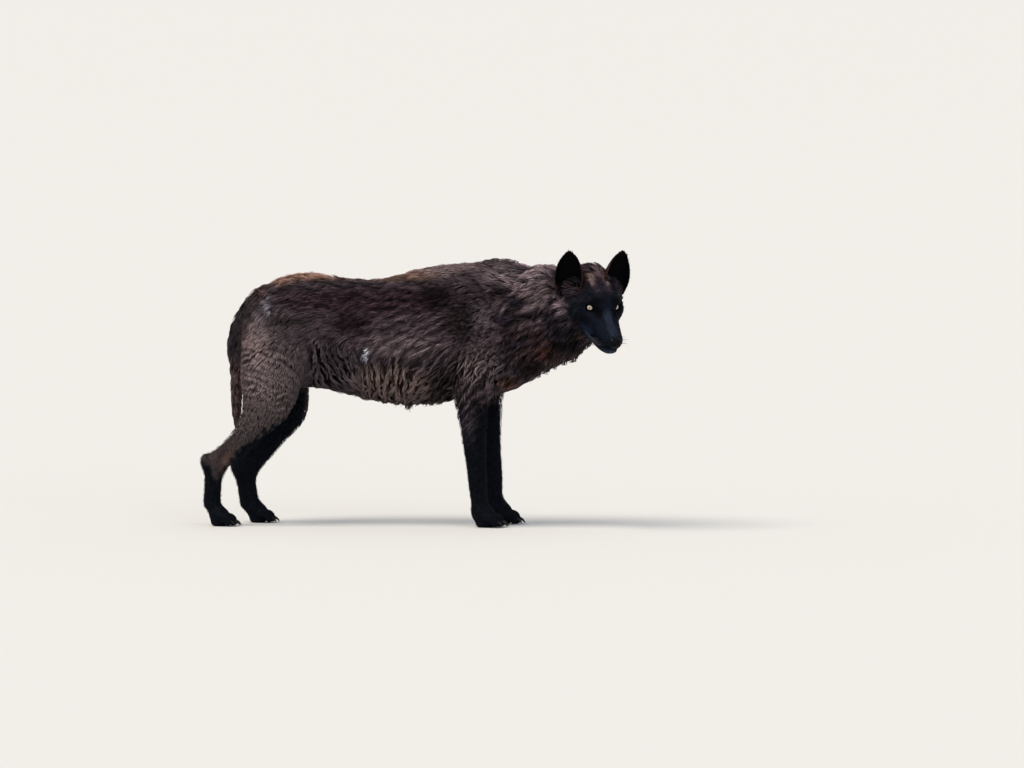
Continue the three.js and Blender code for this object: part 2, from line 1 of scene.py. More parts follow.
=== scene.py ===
import math
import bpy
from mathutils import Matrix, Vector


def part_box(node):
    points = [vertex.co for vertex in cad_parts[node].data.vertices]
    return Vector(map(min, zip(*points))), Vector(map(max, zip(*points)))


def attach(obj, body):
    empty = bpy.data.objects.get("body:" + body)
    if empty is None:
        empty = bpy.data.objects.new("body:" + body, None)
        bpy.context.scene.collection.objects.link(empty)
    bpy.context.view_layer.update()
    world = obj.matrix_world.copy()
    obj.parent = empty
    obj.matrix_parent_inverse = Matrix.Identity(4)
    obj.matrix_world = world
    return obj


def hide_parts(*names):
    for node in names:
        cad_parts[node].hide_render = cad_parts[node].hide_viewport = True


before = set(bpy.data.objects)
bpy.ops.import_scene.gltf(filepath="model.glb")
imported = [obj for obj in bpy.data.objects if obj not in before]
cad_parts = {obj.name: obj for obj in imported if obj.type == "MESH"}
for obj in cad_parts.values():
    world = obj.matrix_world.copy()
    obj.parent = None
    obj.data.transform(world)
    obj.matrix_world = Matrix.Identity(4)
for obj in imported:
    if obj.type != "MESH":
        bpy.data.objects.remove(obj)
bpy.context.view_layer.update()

from concurrent.futures import ThreadPoolExecutor

import bmesh
import bpy
import numpy as np
from mathutils import Vector, kdtree

# ---- Place -----------------------------------------------------------------------------------------
# The animal is worked out in millimetres, in the frame that its solids were drawn in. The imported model
# is centred on its own floor print, and the two eyeballs say how far it was moved. The head has
# directions of its own: forward along the muzzle, to the animal's left, and up.
HEAD_TURN = math.radians(-61)
HEAD_TIP = math.radians(32)
FORWARD = np.array([math.cos(HEAD_TURN) * math.cos(HEAD_TIP), math.sin(HEAD_TURN) * math.cos(HEAD_TIP),
                    -math.sin(HEAD_TIP)])
LEFT = np.array([-math.sin(HEAD_TURN), math.cos(HEAD_TURN), 0.0])
UP = np.cross(FORWARD, LEFT)
HEAD_AXES = np.array([FORWARD, LEFT, UP])
EYES_MIDDLE = np.array([608.0, -212.0, 648.0])
EYE_PLACE = {s: np.array([-8.3, 38.7 * s, -6.4]) for s in (1, -1)}
METRES = 0.001


def on_head(f, l, u):
    return EYES_MIDDLE + FORWARD * f + LEFT * l + UP * u


eye_corners = [np.array(corner) for side in ("left", "right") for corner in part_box(f"eye_{side}")]
SHIFT = np.mean(eye_corners, axis=0) / METRES - on_head(*(EYE_PLACE[1] + EYE_PLACE[-1]) / 2)


def place(points):
    """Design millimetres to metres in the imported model's frame."""
    return (np.asarray(points) + SHIFT) * METRES


# ---- Camera, floor and light -----------------------------------------------------------------------
# A long lens looks at the right flank from just above the floor, and soft studio light comes from above.
def linear(code):
    """A hex sRGB colour as linear red, green and blue."""
    channels = [int(code[i:i + 2], 16) / 255 for i in (1, 3, 5)]
    return tuple(c / 12.92 if c <= 0.04045 else ((c + 0.055) / 1.055) ** 2.4 for c in channels)


def node(tree, kind, settings=None, **links):
    """Adds a shader node. Settings are its properties and unlinked sockets; links are its linked sockets,
    each with the socket or the node that feeds it. A socket goes by its name, or by its number as in i1."""
    made = tree.nodes.new("ShaderNode" + kind)

    def socket(key):
        return made.inputs[int(key[1:]) if key[1:].isdigit() else key]

    for key, value in (settings or {}).items():
        if key in made.inputs or key[1:].isdigit():
            socket(key).default_value = value
        else:
            setattr(made, key, value)
    for key, source in links.items():
        tree.links.new(source if isinstance(source, bpy.types.NodeSocket) else source.outputs[0], socket(key))
    return made


def material(name):
    """An empty node material and its tree."""
    made = bpy.data.materials.new(name)
    made.use_nodes = True
    made.node_tree.nodes.clear()
    return made, made.node_tree


def in_scene(name, data):
    """A new object in the scene."""
    held = bpy.data.objects.new(name, data)
    bpy.context.scene.collection.objects.link(held)
    return held


CAMERA_DISTANCE = 30000  # millimetres, as CAMERA_AIM and CAMERA_SEES
CAMERA_TURN = math.radians(5)
CAMERA_RISE = math.radians(3)
CAMERA_AIM = (325, 0, 412)
CAMERA_SEES = 2969.6  # width of the view at the animal
SENSOR = 36

away = np.array([math.sin(CAMERA_TURN) * math.cos(CAMERA_RISE),
                 -math.cos(CAMERA_TURN) * math.cos(CAMERA_RISE), math.sin(CAMERA_RISE)])
lens = bpy.data.cameras.new("camera")
lens.sensor_width = SENSOR
lens.lens = SENSOR * CAMERA_DISTANCE / CAMERA_SEES
lens.clip_end = 400
camera = in_scene("camera", lens)
camera.location = Vector(place(np.array(CAMERA_AIM) + away * CAMERA_DISTANCE))
camera.rotation_euler = Vector(-away).to_track_quat("-Z", "Y").to_euler()
bpy.context.scene.camera = camera

FLOOR_RADIUS = 260  # metres
FLOOR_SIDES = 64
floor_mesh = bpy.data.meshes.new("floor")
turns = np.linspace(0, 2 * math.pi, FLOOR_SIDES, endpoint=False)
floor_mesh.from_pydata([(FLOOR_RADIUS * math.cos(a), FLOOR_RADIUS * math.sin(a), 0) for a in turns],
                       [], [list(range(FLOOR_SIDES))])
# Studio paper: matt and pale, with no pattern.
paper, tree = material("matt_studio_paper")
surface = node(tree, "BsdfPrincipled", {"Base Color": (*linear("#d6d4d0"), 1), "Roughness": 0.9})
node(tree, "OutputMaterial", Surface=surface)
floor_mesh.materials.append(paper)
in_scene("floor", floor_mesh)

world = bpy.data.worlds.new("studio")
world.use_nodes = True
sky = world.node_tree.nodes["Background"]
sky.inputs["Color"].default_value = (*linear("#dfe3ea"), 1)
sky.inputs["Strength"].default_value = 0.75
bpy.context.scene.world = world
bpy.context.scene.view_settings.view_transform = "Standard"


def lamp(name, toward, strength, size, colour):
    """A soft far light that shines from the given direction."""
    light = bpy.data.lights.new(name, "SUN")
    light.energy = strength
    light.angle = math.radians(size)
    light.color = linear(colour)
    in_scene(name, light).rotation_euler = Vector(toward).to_track_quat("Z", "Y").to_euler()


lamp("key_light", (-0.45, -0.35, 1.0), 2.6, 35, "#fff6ea")
lamp("front_light", (0.5, -1.0, 0.35), 0.8, 50, "#eaf1ff")

# ---- The animal's form ----------------------------------------------------------------------------
# Trunk, neck, head, legs, paws and tail are named masses, each a soft bar or a rounded lump, melted
# into one another with fillets. They give the outline to the tips of the coat, as in the solids.
# The skin is the same form, drawn in by the depth of the coat at each place.
FAR = 1e4
EYE_RADIUS = 12.5
GROUPS = ("trunk", "neck", "head", "fore", "hind", "paw", "tail")
masses = []


def unit(vector):
    vector = np.asarray(vector, float)
    return vector / np.linalg.norm(vector, axis=-1, keepdims=True)


def in_head(points):
    """Design points in the head's own forward, left and up."""
    return (points - EYES_MIDDLE) @ HEAD_AXES.T


def melt(a, b, width):
    near = np.maximum(width - np.abs(a - b), 0) / width
    return np.minimum(a, b) - near * near * width / 4


def round_distance(x, y, z, rx, ry, rz):
    k0 = np.sqrt((x / rx) ** 2 + (y / ry) ** 2 + (z / rz) ** 2)
    k1 = np.sqrt((x / rx ** 2) ** 2 + (y / ry ** 2) ** 2 + (z / rz ** 2) ** 2)
    return k0 * (k0 - 1) / np.maximum(k1, 1e-6)


def drawn_through(rows, steps=6):
    """Points and sizes on a smooth line through the stations."""
    rows = np.array(rows, float)
    rows = np.vstack([2 * rows[0] - rows[1], rows, 2 * rows[-1] - rows[-2]])
    out = [rows[1]]
    for i in range(1, len(rows) - 2):
        a, b, c, d = rows[i - 1:i + 3]
        for k in range(1, steps + 1):
            t = k / steps
            out.append(0.5 * (2 * b + (c - a) * t + (2 * a - 5 * b + 4 * c - d) * t ** 2
                              + (3 * b - a - 3 * c + d) * t ** 3))
    return np.array(out)


def bar(group, fillet, stations, side=(0, 1, 0)):
    """A soft bar through stations of x, y, z, half depth and half breadth."""
    line = drawn_through(stations)
    parts = []
    for a, b in zip(line[:-1], line[1:]):
        way = b[:3] - a[:3]
        length = np.linalg.norm(way)
        along = way / length
        across = unit(np.array(side) - along * np.dot(side, along))
        frame_rows = np.array([along, across, np.cross(along, across)], np.float32)
        parts.append((a[:3].astype(np.float32), length, frame_rows, a[3:], b[3:]))
    thick = line[:, 3:].max(axis=1)[:, None]
    masses.append({"group": GROUPS.index(group), "fillet": fillet, "parts": parts,
                   "low": (line[:, :3] - thick).min(axis=0), "high": (line[:, :3] + thick).max(axis=0)})


def lump(group, fillet, middle, sizes, along=(1, 0, 0), side=(0, 1, 0)):
    """A rounded lump with half sizes along, aside and upward."""
    along = unit(along)
    across = unit(np.array(side) - along * np.dot(side, along))
    middle = np.array(middle, float)
    masses.append({"group": GROUPS.index(group), "fillet": fillet, "middle": middle.astype(np.float32),
                   "turn": np.array([along, across, np.cross(along, across)], np.float32), "sizes": sizes,
                   "low": middle - max(sizes), "high": middle + max(sizes)})


def mass_distance(mass, points):
    if "middle" in mass:
        x, y, z = ((points - mass["middle"]) @ mass["turn"].T).T
        return round_distance(x, y, z, *mass["sizes"])
    best = np.full(len(points), FAR, np.float32)
    for start, length, turn, first, last in mass["parts"]:
        reach = max(*first, *last) + 1.5 * mass["fillet"]
        rel = points - start
        way = rel @ turn[0]
        near = np.flatnonzero(np.abs(way - length / 2) < length / 2 + reach)
        if not len(near):
            continue
        rel = rel[near] @ turn.T
        t = np.clip(rel[:, 0] / length, 0, 1)
        deep = first[0] + (last[0] - first[0]) * t
        broad = first[1] + (last[1] - first[1]) * t
        found = round_distance(rel[:, 0] - t * length, rel[:, 1], rel[:, 2],
                               np.minimum(deep, broad), broad, deep)
        best[near] = np.minimum(best[near], found)
    return best


def smooth(x, low, high):
    t = np.clip((x - low) / (high - low), 0, 1)
    return t * t * (3 - 2 * t)


# The barrel: x, back, belly and half breadth.
bar("trunk", 30, [(x, 0, (back + belly) / 2, (back - belly) / 2, broad) for x, back, belly, broad in (
    (-392, 664, 480, 58), (-340, 722, 420, 94), (-275, 738, 396, 107), (-200, 727, 392, 104),
    (-120, 719, 374, 108), (-40, 722, 352, 117), (45, 740, 344, 122), (125, 759, 358, 120),
    (205, 767, 372, 112), (285, 766, 396, 100))])
lump("trunk", 60, (310, 0, 493), (78, 78, 92), along=(1, 0, 0.35))
lump("trunk", 50, (-394, 0, 560), (66, 76, 88))
lump("trunk", 40, (300, 0, 735), (60, 46, 34))
for s in (-1, 1):
    lump("trunk", 60, (232, 84 * s, 640), (118, 34, 58), along=(0.42, 0, -1))
    lump("trunk", 55, (258, 88 * s, 476), (94, 42, 76), along=(0.25, 0, 1))

bar("neck", 50, [(282, 0, 590, 168, 104), (352, -10, 598, 158, 106), (420, -38, 616, 148, 104),
                 (480, -72, 628, 134, 100), (524, -100, 654, 106, 94), (552, -122, 680, 84, 84)],
    side=(0.45, 0.89, 0))
HEAD_LIE = {"along": FORWARD, "side": LEFT}
lump("neck", 45, on_head(-114, 0, 30), (44, 52, 33), **HEAD_LIE)

lump("head", 30, on_head(-66, 0, -2), (74, 60, 47), **HEAD_LIE)
lump("head", 24, on_head(-12, 0, 5), (40, 40, 25), **HEAD_LIE)
# Muzzle and lower jaw: forward, up, half depth and half breadth.
for fillet, rows in ((20, ((0, -26, 34, 50), (40, -38, 30, 43), (76, -44, 26, 37), (105, -46, 22, 31),
                           (122, -47, 16, 22))),
                     (14, ((-58, -70, 28, 52), (-8, -77, 26, 48), (42, -81, 22, 41), (82, -82, 17, 33),
                           (103, -83, 11, 23)))):
    bar("head", fillet, [(*on_head(f, 0, u), deep, broad) for f, u, deep, broad in rows], side=LEFT)
# Brow, cheekbone, cheek, lip, ruff and ear root, on each side.
for s in (-1, 1):
    for fillet, (f, l, u), sizes in (
            (24, (-12, 33, 14), (26, 18, 12)), (24, (-26, 47, -12), (46, 19, 20)),
            (28, (-46, 44, -38), (54, 31, 40)), (22, (2, 35, -62), (42, 15, 19)),
            (34, (-88, 64, -42), (42, 36, 52)), (24, (-102, 64, 2), (26, 36, 24))):
        lump("head", fillet, on_head(f, l * s, u), sizes, **HEAD_LIE)

for s, elbow, wrist, paw in ((-1, 214, 232, 252), (1, 240, 263, 288)):
    mid = (elbow + wrist) / 2
    bar("fore", 34, [
        (elbow + 8, 84 * s, 440, 58, 44), (elbow, 84 * s, 385, 54, 41), (elbow + 5, 82 * s, 320, 45, 35),
        (mid, 79 * s, 240, 36, 29), (wrist - 3, 77 * s, 170, 31, 27), (wrist, 76 * s, 132, 30, 27),
        (wrist + 3, 75 * s, 90, 27, 26), (paw - 14, 75 * s, 52, 26, 27)])

HIND = (
    {"s": -1, "side": 86, "stifle": (-381, 356), "shin_black_and_shade": (-420, 290), "gaskin": (-464, 240),
     "hock": (-535, 178), "pastern": (-542, 66), "heel": (-554, 188), "bone": 28},
    {"s": 1, "side": 82, "stifle": (-352, 336), "shin_black_and_shade": (-384, 262), "gaskin": (-424, 206),
     "hock": (-465, 158), "pastern": (-450, 58), "heel": (-483, 166), "bone": 31})
for leg in HIND:
    s, side, bone = leg["s"], leg["side"], leg["bone"]

    def joint(name, inward, deep, broad):
        return (leg[name][0], s * (side - inward), leg[name][1], deep, broad)

    bar("hind", 36, [(-362, s * (side - 18), 600, 96, 50), (-366, s * (side - 2), 515, 93, 55),
                     (-368, s * (side + 4), 430, 90, 54), joint("stifle", -2, 73, 46),
                     joint("shin_black_and_shade", 0, 46, 37), joint("gaskin", 2, bone + 9, 31),
                     joint("hock", 4, bone + 6, 27)])
    between = 0.6 * np.array(leg["hock"]) + 0.4 * np.array(leg["pastern"])
    bar("hind", 22, [joint("hock", 4, bone + 6, 27), (between[0], s * (side - 5), between[1], bone, 24),
                     joint("pastern", 6, bone - 1, 24)])
    lump("hind", 22, (leg["heel"][0], s * (side - 4), leg["heel"][1]), (26, 17, 17), along=(-0.6, 0, 0.8))

PAWS = {"fore_right": (252, -76, -0.1, 1.0), "fore_left": (288, 76, 0.1, 1.0),
        "hind_right": (-520, -84, -0.12, 0.92), "hind_left": (-426, 80, 0.12, 0.92)}
TOES = (-1.5, -0.5, 0.5, 1.5)


def on_paw(paw, f, l, u):
    """A place on a paw: ahead of its middle, to its left and above the floor."""
    x, y, heading, size = PAWS[paw]
    return (x + size * (f * math.cos(heading) - l * math.sin(heading)),
            y + size * (f * math.sin(heading) + l * math.cos(heading)), size * u)


def toe_tip(toe):
    return 37 if abs(toe) > 1 else 47


for paw, (_, _, heading, size) in PAWS.items():
    ahead = (math.cos(heading), math.sin(heading), 0)
    aside = (-math.sin(heading), math.cos(heading), 0)
    lump("paw", 24, on_paw(paw, 0, 0, 34), np.array((34, 31, 30)) * size, along=ahead, side=aside)
    lump("paw", 14, on_paw(paw, 2, 0, 10), np.array((28, 28, 16)) * size, along=ahead, side=aside)
    for toe in TOES:
        tip = toe_tip(toe)
        bar("paw", 5, [(*on_paw(paw, tip - 30, 17 * toe, 30), 16 * size, 12.5 * size),
                       (*on_paw(paw, tip - 10, 19 * toe, 25), 16 * size, 11.5 * size),
                       (*on_paw(paw, tip, 19 * toe, 11), 13 * size, 10.5 * size)], side=aside)

TAIL_LINE = [(-392, 0, 656, 42, 46), (-430, 0, 619, 45, 43), (-454, 0, 568, 45, 40), (-469, 0, 513, 36, 33),
             (-477, 0, 468, 23, 23), (-479, 0, 400, 19, 19), (-479, 0, 335, 15, 15), (-480, 0, 288, 8, 8)]
bar("tail", 30, TAIL_LINE)


SLICE = 12000


def in_chunks(work, points):
    """Runs work on slices of the points, four at a time, and joins what comes back."""
    slices = [points[i:i + SLICE] for i in range(0, len(points), SLICE)]
    with ThreadPoolExecutor(4) as pool:
        found = list(pool.map(work, slices))
    if isinstance(found[0], tuple):
        return tuple(np.concatenate(part) for part in zip(*found))
    return np.concatenate(found)


def coat_form(points):
    """Distance to the coat's outer form, and to each group of masses by itself. The tail comes last, after
    the eye sockets, and joins the seat by a wide fillet but stays clear of the thighs below it."""
    total = np.full(len(points), FAR, np.float32)
    groups = np.full((len(points), len(GROUPS)), FAR, np.float32)
    for mass in masses:
        on_tail = mass["group"] == GROUPS.index("tail")
        if on_tail:
            near = np.flatnonzero(np.linalg.norm(points - EYES_MIDDLE, axis=1) < 80)
            if len(near):
                f, l, u = in_head(points[near]).T
                hollow = round_distance(f - 18, np.abs(l) - 50, u - 1, 18, 14, 14.5)
                total[near] = -melt(-total[near], hollow, 12)
        reach = 1.5 * mass["fillet"]
        inside = (points > mass["low"] - reach) & (points < mass["high"] + reach)
        near = np.flatnonzero(np.all(inside, axis=1))
        if not len(near):
            continue
        found = mass_distance(mass, points[near])
        width = 3 + 31 * smooth(points[near, 2], 590, 650) if on_tail else mass["fillet"]
        total[near] = melt(total[near], found, width)
        groups[near, mass["group"]] = np.minimum(groups[near, mass["group"]], found)
    return total, groups

# ---- Ears: thin upright cups -----------------------------------------------------------------------
# Each ear is a rolled leaf of gristle with skin on both sides, widest above its root and pointed at the
# tip. It grows out of the head, so it is part of the one skin.
EAR_HEIGHT = 122
EAR_HALF_WIDTH = 44
EAR_HALF_THICK = 4.5
EAR_FIRST = -0.15
EAR_LAST = 0.99
EARS = {}
for name, root, tip, look in (("right", (-98, -68, -4), (-117, -90, 116), -0.62),
                              ("left", (-98, 54, -4), (-117, 83, 116), 0.1)):
    along = unit(on_head(*tip) - on_head(*root))
    facing = FORWARD + LEFT * look
    facing = unit(facing - along * np.dot(facing, along))
    EARS[name] = (on_head(*root), along, np.cross(along, facing), facing)


def ear_place(ear, points):
    """Share of the ear's height, turn round its cup, distance from its middle leaf, leaf half thickness."""
    root, along, across, facing = EARS[ear]
    rel = points - root
    raw = rel @ along / EAR_HEIGHT
    r = np.clip(raw, EAR_FIRST, EAR_LAST)
    half = np.radians(115 - 65 * r)
    width = EAR_HALF_WIDTH * (0.74 + 0.95 * r - 1.3 * r * r) * np.sqrt(1 - r ** 6)
    radius = width / np.sin(np.minimum(half, math.pi / 2))
    x = rel @ across
    y = 0.55 * radius - rel @ facing
    turn = np.arctan2(x, y)
    held = np.clip(turn, -half, half)
    flat = np.hypot(x - radius * np.sin(held), y - radius * np.cos(held))
    off = np.hypot(flat, (raw - r) * EAR_HEIGHT)
    thick = EAR_HALF_THICK * (1.1 - 0.5 * r) * np.cos(1.2 * held / half)
    inside = (np.hypot(x, y) < radius) & (np.abs(turn) < half)
    return raw, held / half, off, thick, inside


def near_ears(points, gap, above):
    """True within a gap of an ear's middle leaf, above a share of its height."""
    found = np.zeros(len(points), bool)
    for ear in EARS:
        raw, _, off, _, _ = ear_place(ear, points)
        found |= (off < gap) & (raw > above)
    return found


def clear_of_ears(points):
    """0 on the ears and 1 well away from them."""
    clear = np.ones(len(points))
    near = np.flatnonzero(np.linalg.norm(points - on_head(-100, 0, 50), axis=1) < 190)
    for ear in EARS:
        raw, _, off, _, _ = ear_place(ear, points[near])
        clear[near] = np.minimum(clear[near], np.where(raw > EAR_FIRST, smooth(off, 10, 26), 1))
    return clear


# ---- Skin ------------------------------------------------------------------------------------------
# One closed hide over the whole animal, from the lips to the paw pads, with lids round the eyes and a
# closed mouth. It is the coat's outer form drawn in by the hair's depth: deep on neck and back, almost
# nothing on the muzzle and feet. It is found on a grid, then refined where the shape is small.
EYE_GAZE = {s: unit((0.85, 0.40 * s, 0.30)) for s in (1, -1)}
EYE_SLIT = {s: unit(np.cross(EYE_GAZE[s], unit((0.32, -0.22 * s, 0.9)))) * -s for s in (1, -1)}
LID_THICK = 1.5
SLIT_HALF_LONG = 15
SLIT_HALF_HIGH = 7.7
WEIGHT_REACH = 12  # how softly one group's coat and markings pass into the next
HEAD_REACH = 230  # nothing of the head lies further than this from its middle
UNDER_DEEP_COAT = (12, 19)  # from and above these depths the skin doesn't show
LIPS = [(125, 0, -67), (117, 11, -68), (105, 20, -69), (80, 29, -70), (52, 36, -69), (28, 41, -66),
        (10, 45, -58)]


def group_weights(groups):
    weights = np.exp(-(groups - groups.min(axis=1, keepdims=True)) / WEIGHT_REACH)
    return weights / weights.sum(axis=1, keepdims=True)


def ruff_share(f, l, u):
    """1 where the cheek's hair grows long, behind the jaw."""
    return smooth(np.abs(l), 46, 68) * smooth(-u, 0, 25) * smooth(-f, 40, 75)


def coat_depth(points, weights):
    """How deep the lying coat is, in millimetres, at each place."""
    z = points[:, 2]
    f, l, u = in_head(points).T
    ruff = ruff_share(f, l, u)
    crown = np.interp(-f, (-138, -120, -112, 0, 25, 60, 100), (5, 3, 1.3, 1.5, 2.5, 6, 14))
    by_group = np.stack([
        np.full(len(points), 23.0),
        np.interp(z, (480, 600, 700), (22, 25, 27)),
        crown * (1 - ruff) + 17 * ruff,
        np.interp(z, (130, 235, 320, 400, 480), (3, 3.5, 7, 14, 20)),
        np.interp(z, (60, 180, 260, 340, 430, 560), (3, 4, 6, 9, 13, 18)),
        np.full(len(points), 2.2),
        np.interp(z, (288, 335, 400, 480, 540, 600), (3.5, 5, 7, 9, 14, 17))], axis=1)
    return (by_group * weights).sum(axis=1)


def lid_parts(points_in_head, s):
    """Distance from the eyeball's middle, and signed distance to the open slit between the lids."""
    rel = points_in_head - EYE_PLACE[s]
    long_way = rel @ EYE_SLIT[s]
    high_way = rel @ np.cross(EYE_GAZE[s], EYE_SLIT[s]) * s
    ahead = rel @ EYE_GAZE[s]
    edge = SLIT_HALF_HIGH * (1 - np.clip(np.abs(long_way) / SLIT_HALF_LONG, 0, 1.5) ** 1.8)
    slit = (np.abs(high_way + 0.4) - edge) * 0.8
    return np.linalg.norm(rel, axis=1), np.maximum(slit, -ahead)


def on_left(held):
    """Places on the head, those on its right mirrored to its left."""
    return np.stack([held[:, 0], np.abs(held[:, 1]), held[:, 2]], axis=1)


def path_distance(points, path):
    best = np.full(len(points), FAR)
    for a, b in zip(path[:-1], path[1:]):
        a, way = np.array(a, float), np.array(b, float) - np.array(a, float)
        t = np.clip((points - a) @ way / (way @ way), 0, 1)
        best = np.minimum(best, np.linalg.norm(points - a - t[:, None] * way, axis=1))
    return best


def with_ears(points, form, fat):
    """The form with the ears grown on; fat ears are thick enough for the grid to hold."""
    for ear in EARS:
        _, _, off, thick, _ = ear_place(ear, points)
        leaf = np.maximum(thick, 4.6) if fat else np.maximum(thick - 1.1, 1.2)
        form = melt(form, off - leaf, 14)
    return form


def with_head_details(points, form):
    """The form with a lid over each eyeball and the upper lip's full front."""
    held = in_head(points)
    for s in (1, -1):
        away = np.linalg.norm(held - EYE_PLACE[s], axis=1)
        form = melt(form, away - EYE_RADIUS - LID_THICK, 9)
    f, l, u = held.T
    return melt(form, round_distance(f - 106, l, u + 60, 20, 18, 11.5), 10)


def skin_form(points, depth=None, eared=True):
    """Distance to the skin, the coat's depth and the group weights."""
    form, groups = coat_form(points)
    weights = group_weights(groups)
    if depth is None:
        depth = coat_depth(points, weights)
    form = form + depth
    near = np.flatnonzero(np.linalg.norm(points - on_head(-20, 0, 10), axis=1) < HEAD_REACH)
    if len(near):
        form[near] = with_head_details(points[near], form[near])
        if eared:
            form[near] = with_ears(points[near], form[near], False)
    return np.maximum(form, -points[:, 2]), depth, weights


CELL = 7.2
COARSE = 4  # cells of the fine grid to one of the coarse grid that finds where the skin runs
BAND = 64  # the fine grid is worked out this far from the coat's form
grid_low = np.array([-640.0, -340.0, -34.0])
grid_high = np.array([740.0, 190.0, 850.0])
counts = (np.ceil((grid_high - grid_low) / CELL / COARSE).astype(int)) * COARSE + 1


def grid_points(index):
    return (grid_low + np.stack(index, axis=1) * CELL).astype(np.float32)


coarse_axes = [np.arange(0, n, COARSE) for n in counts]
coarse_index = [a.ravel() for a in np.meshgrid(*coarse_axes, indexing="ij")]
coarse = in_chunks(lambda p: skin_form(p)[0], grid_points(coarse_index))
coarse = coarse.reshape([len(a) for a in coarse_axes])
grid = coarse
for axis in range(3):
    spread = np.repeat(grid, COARSE, axis=axis)
    grid = np.take(spread, np.arange(counts[axis]) + COARSE // 2, axis=axis, mode="clip")
grid = grid.astype(np.float32)
band_index = np.nonzero(np.abs(grid) < BAND)
band_points = grid_points(band_index)
found, deep, _ = in_chunks(lambda p: skin_form(p, eared=False), band_points)
grid[band_index] = found
# Under a deep coat the hide is drawn smooth, as sharp muscle edges don't show through it.
softness = np.zeros_like(grid)
softness[band_index] = smooth(deep, *UNDER_DEEP_COAT)
blurred = grid.copy()
for _ in range(6):  # rounds of easing
    for axis in range(3):
        blurred = (np.roll(blurred, 1, axis) + 2 * blurred + np.roll(blurred, -1, axis)) / 4
grid += (blurred - grid) * softness
eared_grid = grid.copy()
near_head = np.linalg.norm(band_points - on_head(-60, 0, 40), axis=1) < HEAD_REACH
head_index = tuple(axis_index[near_head] for axis_index in band_index)
eared_grid[head_index] = with_ears(band_points[near_head], grid[head_index], True)


def felt(points):
    """Height over the skin and the way straight out, read from the grid."""
    at = (points - grid_low) / CELL
    cell = np.clip(np.floor(at).astype(int), 0, counts - 2)
    part = at - cell
    value = np.zeros(len(points))
    slope = np.zeros((len(points), 3))
    for corner in np.ndindex(2, 2, 2):
        held = grid[tuple((cell + corner).T)]
        shares = [part[:, k] if corner[k] else 1 - part[:, k] for k in range(3)]
        value += held * shares[0] * shares[1] * shares[2]
        for k in range(3):
            others = shares[(k + 1) % 3] * shares[(k + 2) % 3]
            slope[:, k] += held * others * (1 if corner[k] else -1)
    size = np.linalg.norm(slope, axis=1, keepdims=True) + 1e-6
    return value / (size[:, 0] / CELL), slope / size


def surface_net(values):
    """Corners and four-sided faces of the zero surface of a grid, corners in cell units."""
    inside = values < 0
    shape = np.array(values.shape) - 1
    offsets = [(i, j, k) for i in (0, 1) for j in (0, 1) for k in (0, 1)]

    def corner(array, offset):
        return array[tuple(slice(o, o + n) for o, n in zip(offset, shape))]

    filled = sum(corner(inside, o).astype(np.int8) for o in offsets)
    cells = np.nonzero((filled > 0) & (filled < 8))
    number = np.full(shape, -1)
    number[cells] = np.arange(len(cells[0]))
    at = np.stack(cells, axis=1)
    total, hits = np.zeros((len(at), 3)), np.zeros(len(at))
    for a in offsets:
        for axis in range(3):
            if a[axis]:
                continue
            b = list(a)
            b[axis] = 1
            va = values[tuple((at + a).T)]
            vb = values[tuple((at + b).T)]
            crosses = (va < 0) != (vb < 0)
            share = np.where(crosses, va / np.where(crosses, va - vb, 1), 0)
            spot = at + np.array(a, float)
            spot[:, axis] += share
            total += spot * crosses[:, None]
            hits += crosses
    faces = []
    for axis in range(3):
        b, c = (axis + 1) % 3, (axis + 2) % 3
        low = [slice(None)] * 3
        high = [slice(None)] * 3
        low[axis], high[axis] = slice(0, -1), slice(1, None)
        change = inside[tuple(low)].astype(np.int8) - inside[tuple(high)].astype(np.int8)
        edge = np.stack(np.nonzero(change), axis=1)
        edge = edge[(edge[:, b] > 0) & (edge[:, c] > 0) & (edge[:, b] < shape[b]) & (edge[:, c] < shape[c])]
        ring = []
        for db, dc in ((-1, -1), (0, -1), (0, 0), (-1, 0)):
            cell = edge.copy()
            cell[:, b] += db
            cell[:, c] += dc
            ring.append(number[tuple(cell.T)])
        ring = np.stack(ring, axis=1)
        turned = change[tuple(edge.T)] < 0
        ring[turned] = ring[turned][:, ::-1]
        faces.append(ring)
    return total / hits[:, None], np.concatenate(faces)


def settle(points, form, rounds=2, step=0.4, limit=6.0):
    """Moves points along the form's slope on to its zero surface."""
    points = points.astype(np.float32)
    for _ in range(rounds):
        value = form(points)
        slope = np.stack([form(points + step * axis) - value
                          for axis in np.eye(3, dtype=np.float32)], axis=1) / step
        size = np.maximum((slope * slope).sum(axis=1), 0.25)
        move = -slope * (value / size)[:, None]
        far = np.maximum(np.linalg.norm(move, axis=1, keepdims=True) / limit, 1)
        points = points + move / far
    return points


def eased(points, edges):
    """Each point drawn half way to the middle of its neighbours."""
    total = np.zeros_like(points, dtype=float)
    count = np.bincount(edges.ravel(), minlength=len(points))
    for axis in range(3):
        for to, source in ((0, 1), (1, 0)):
            total[:, axis] += np.bincount(edges[:, to], points[edges[:, source], axis], len(points))
    return points + (total / np.maximum(count, 1)[:, None] - points) * 0.5


def fine_places(points, level):
    """True where the skin is made finer: feet and head, then face and ears, then eyes and lips."""
    held = in_head(points)
    near_head = np.linalg.norm(held - (-20, 0, 10), axis=1) < 200
    f = held[:, 0]
    if level == 1:
        return (points[:, 2] < 60) | (near_head & (f > -110))
    if level == 2:
        return near_head & ((f > -25) | near_ears(points, 12, -0.05))
    eyes = np.zeros(len(points), bool)
    for s in (1, -1):
        eyes |= np.linalg.norm(held - EYE_PLACE[s] - 10 * EYE_GAZE[s], axis=1) < 20
    return near_head & (eyes | (path_distance(on_left(held), LIPS) < 4.5))


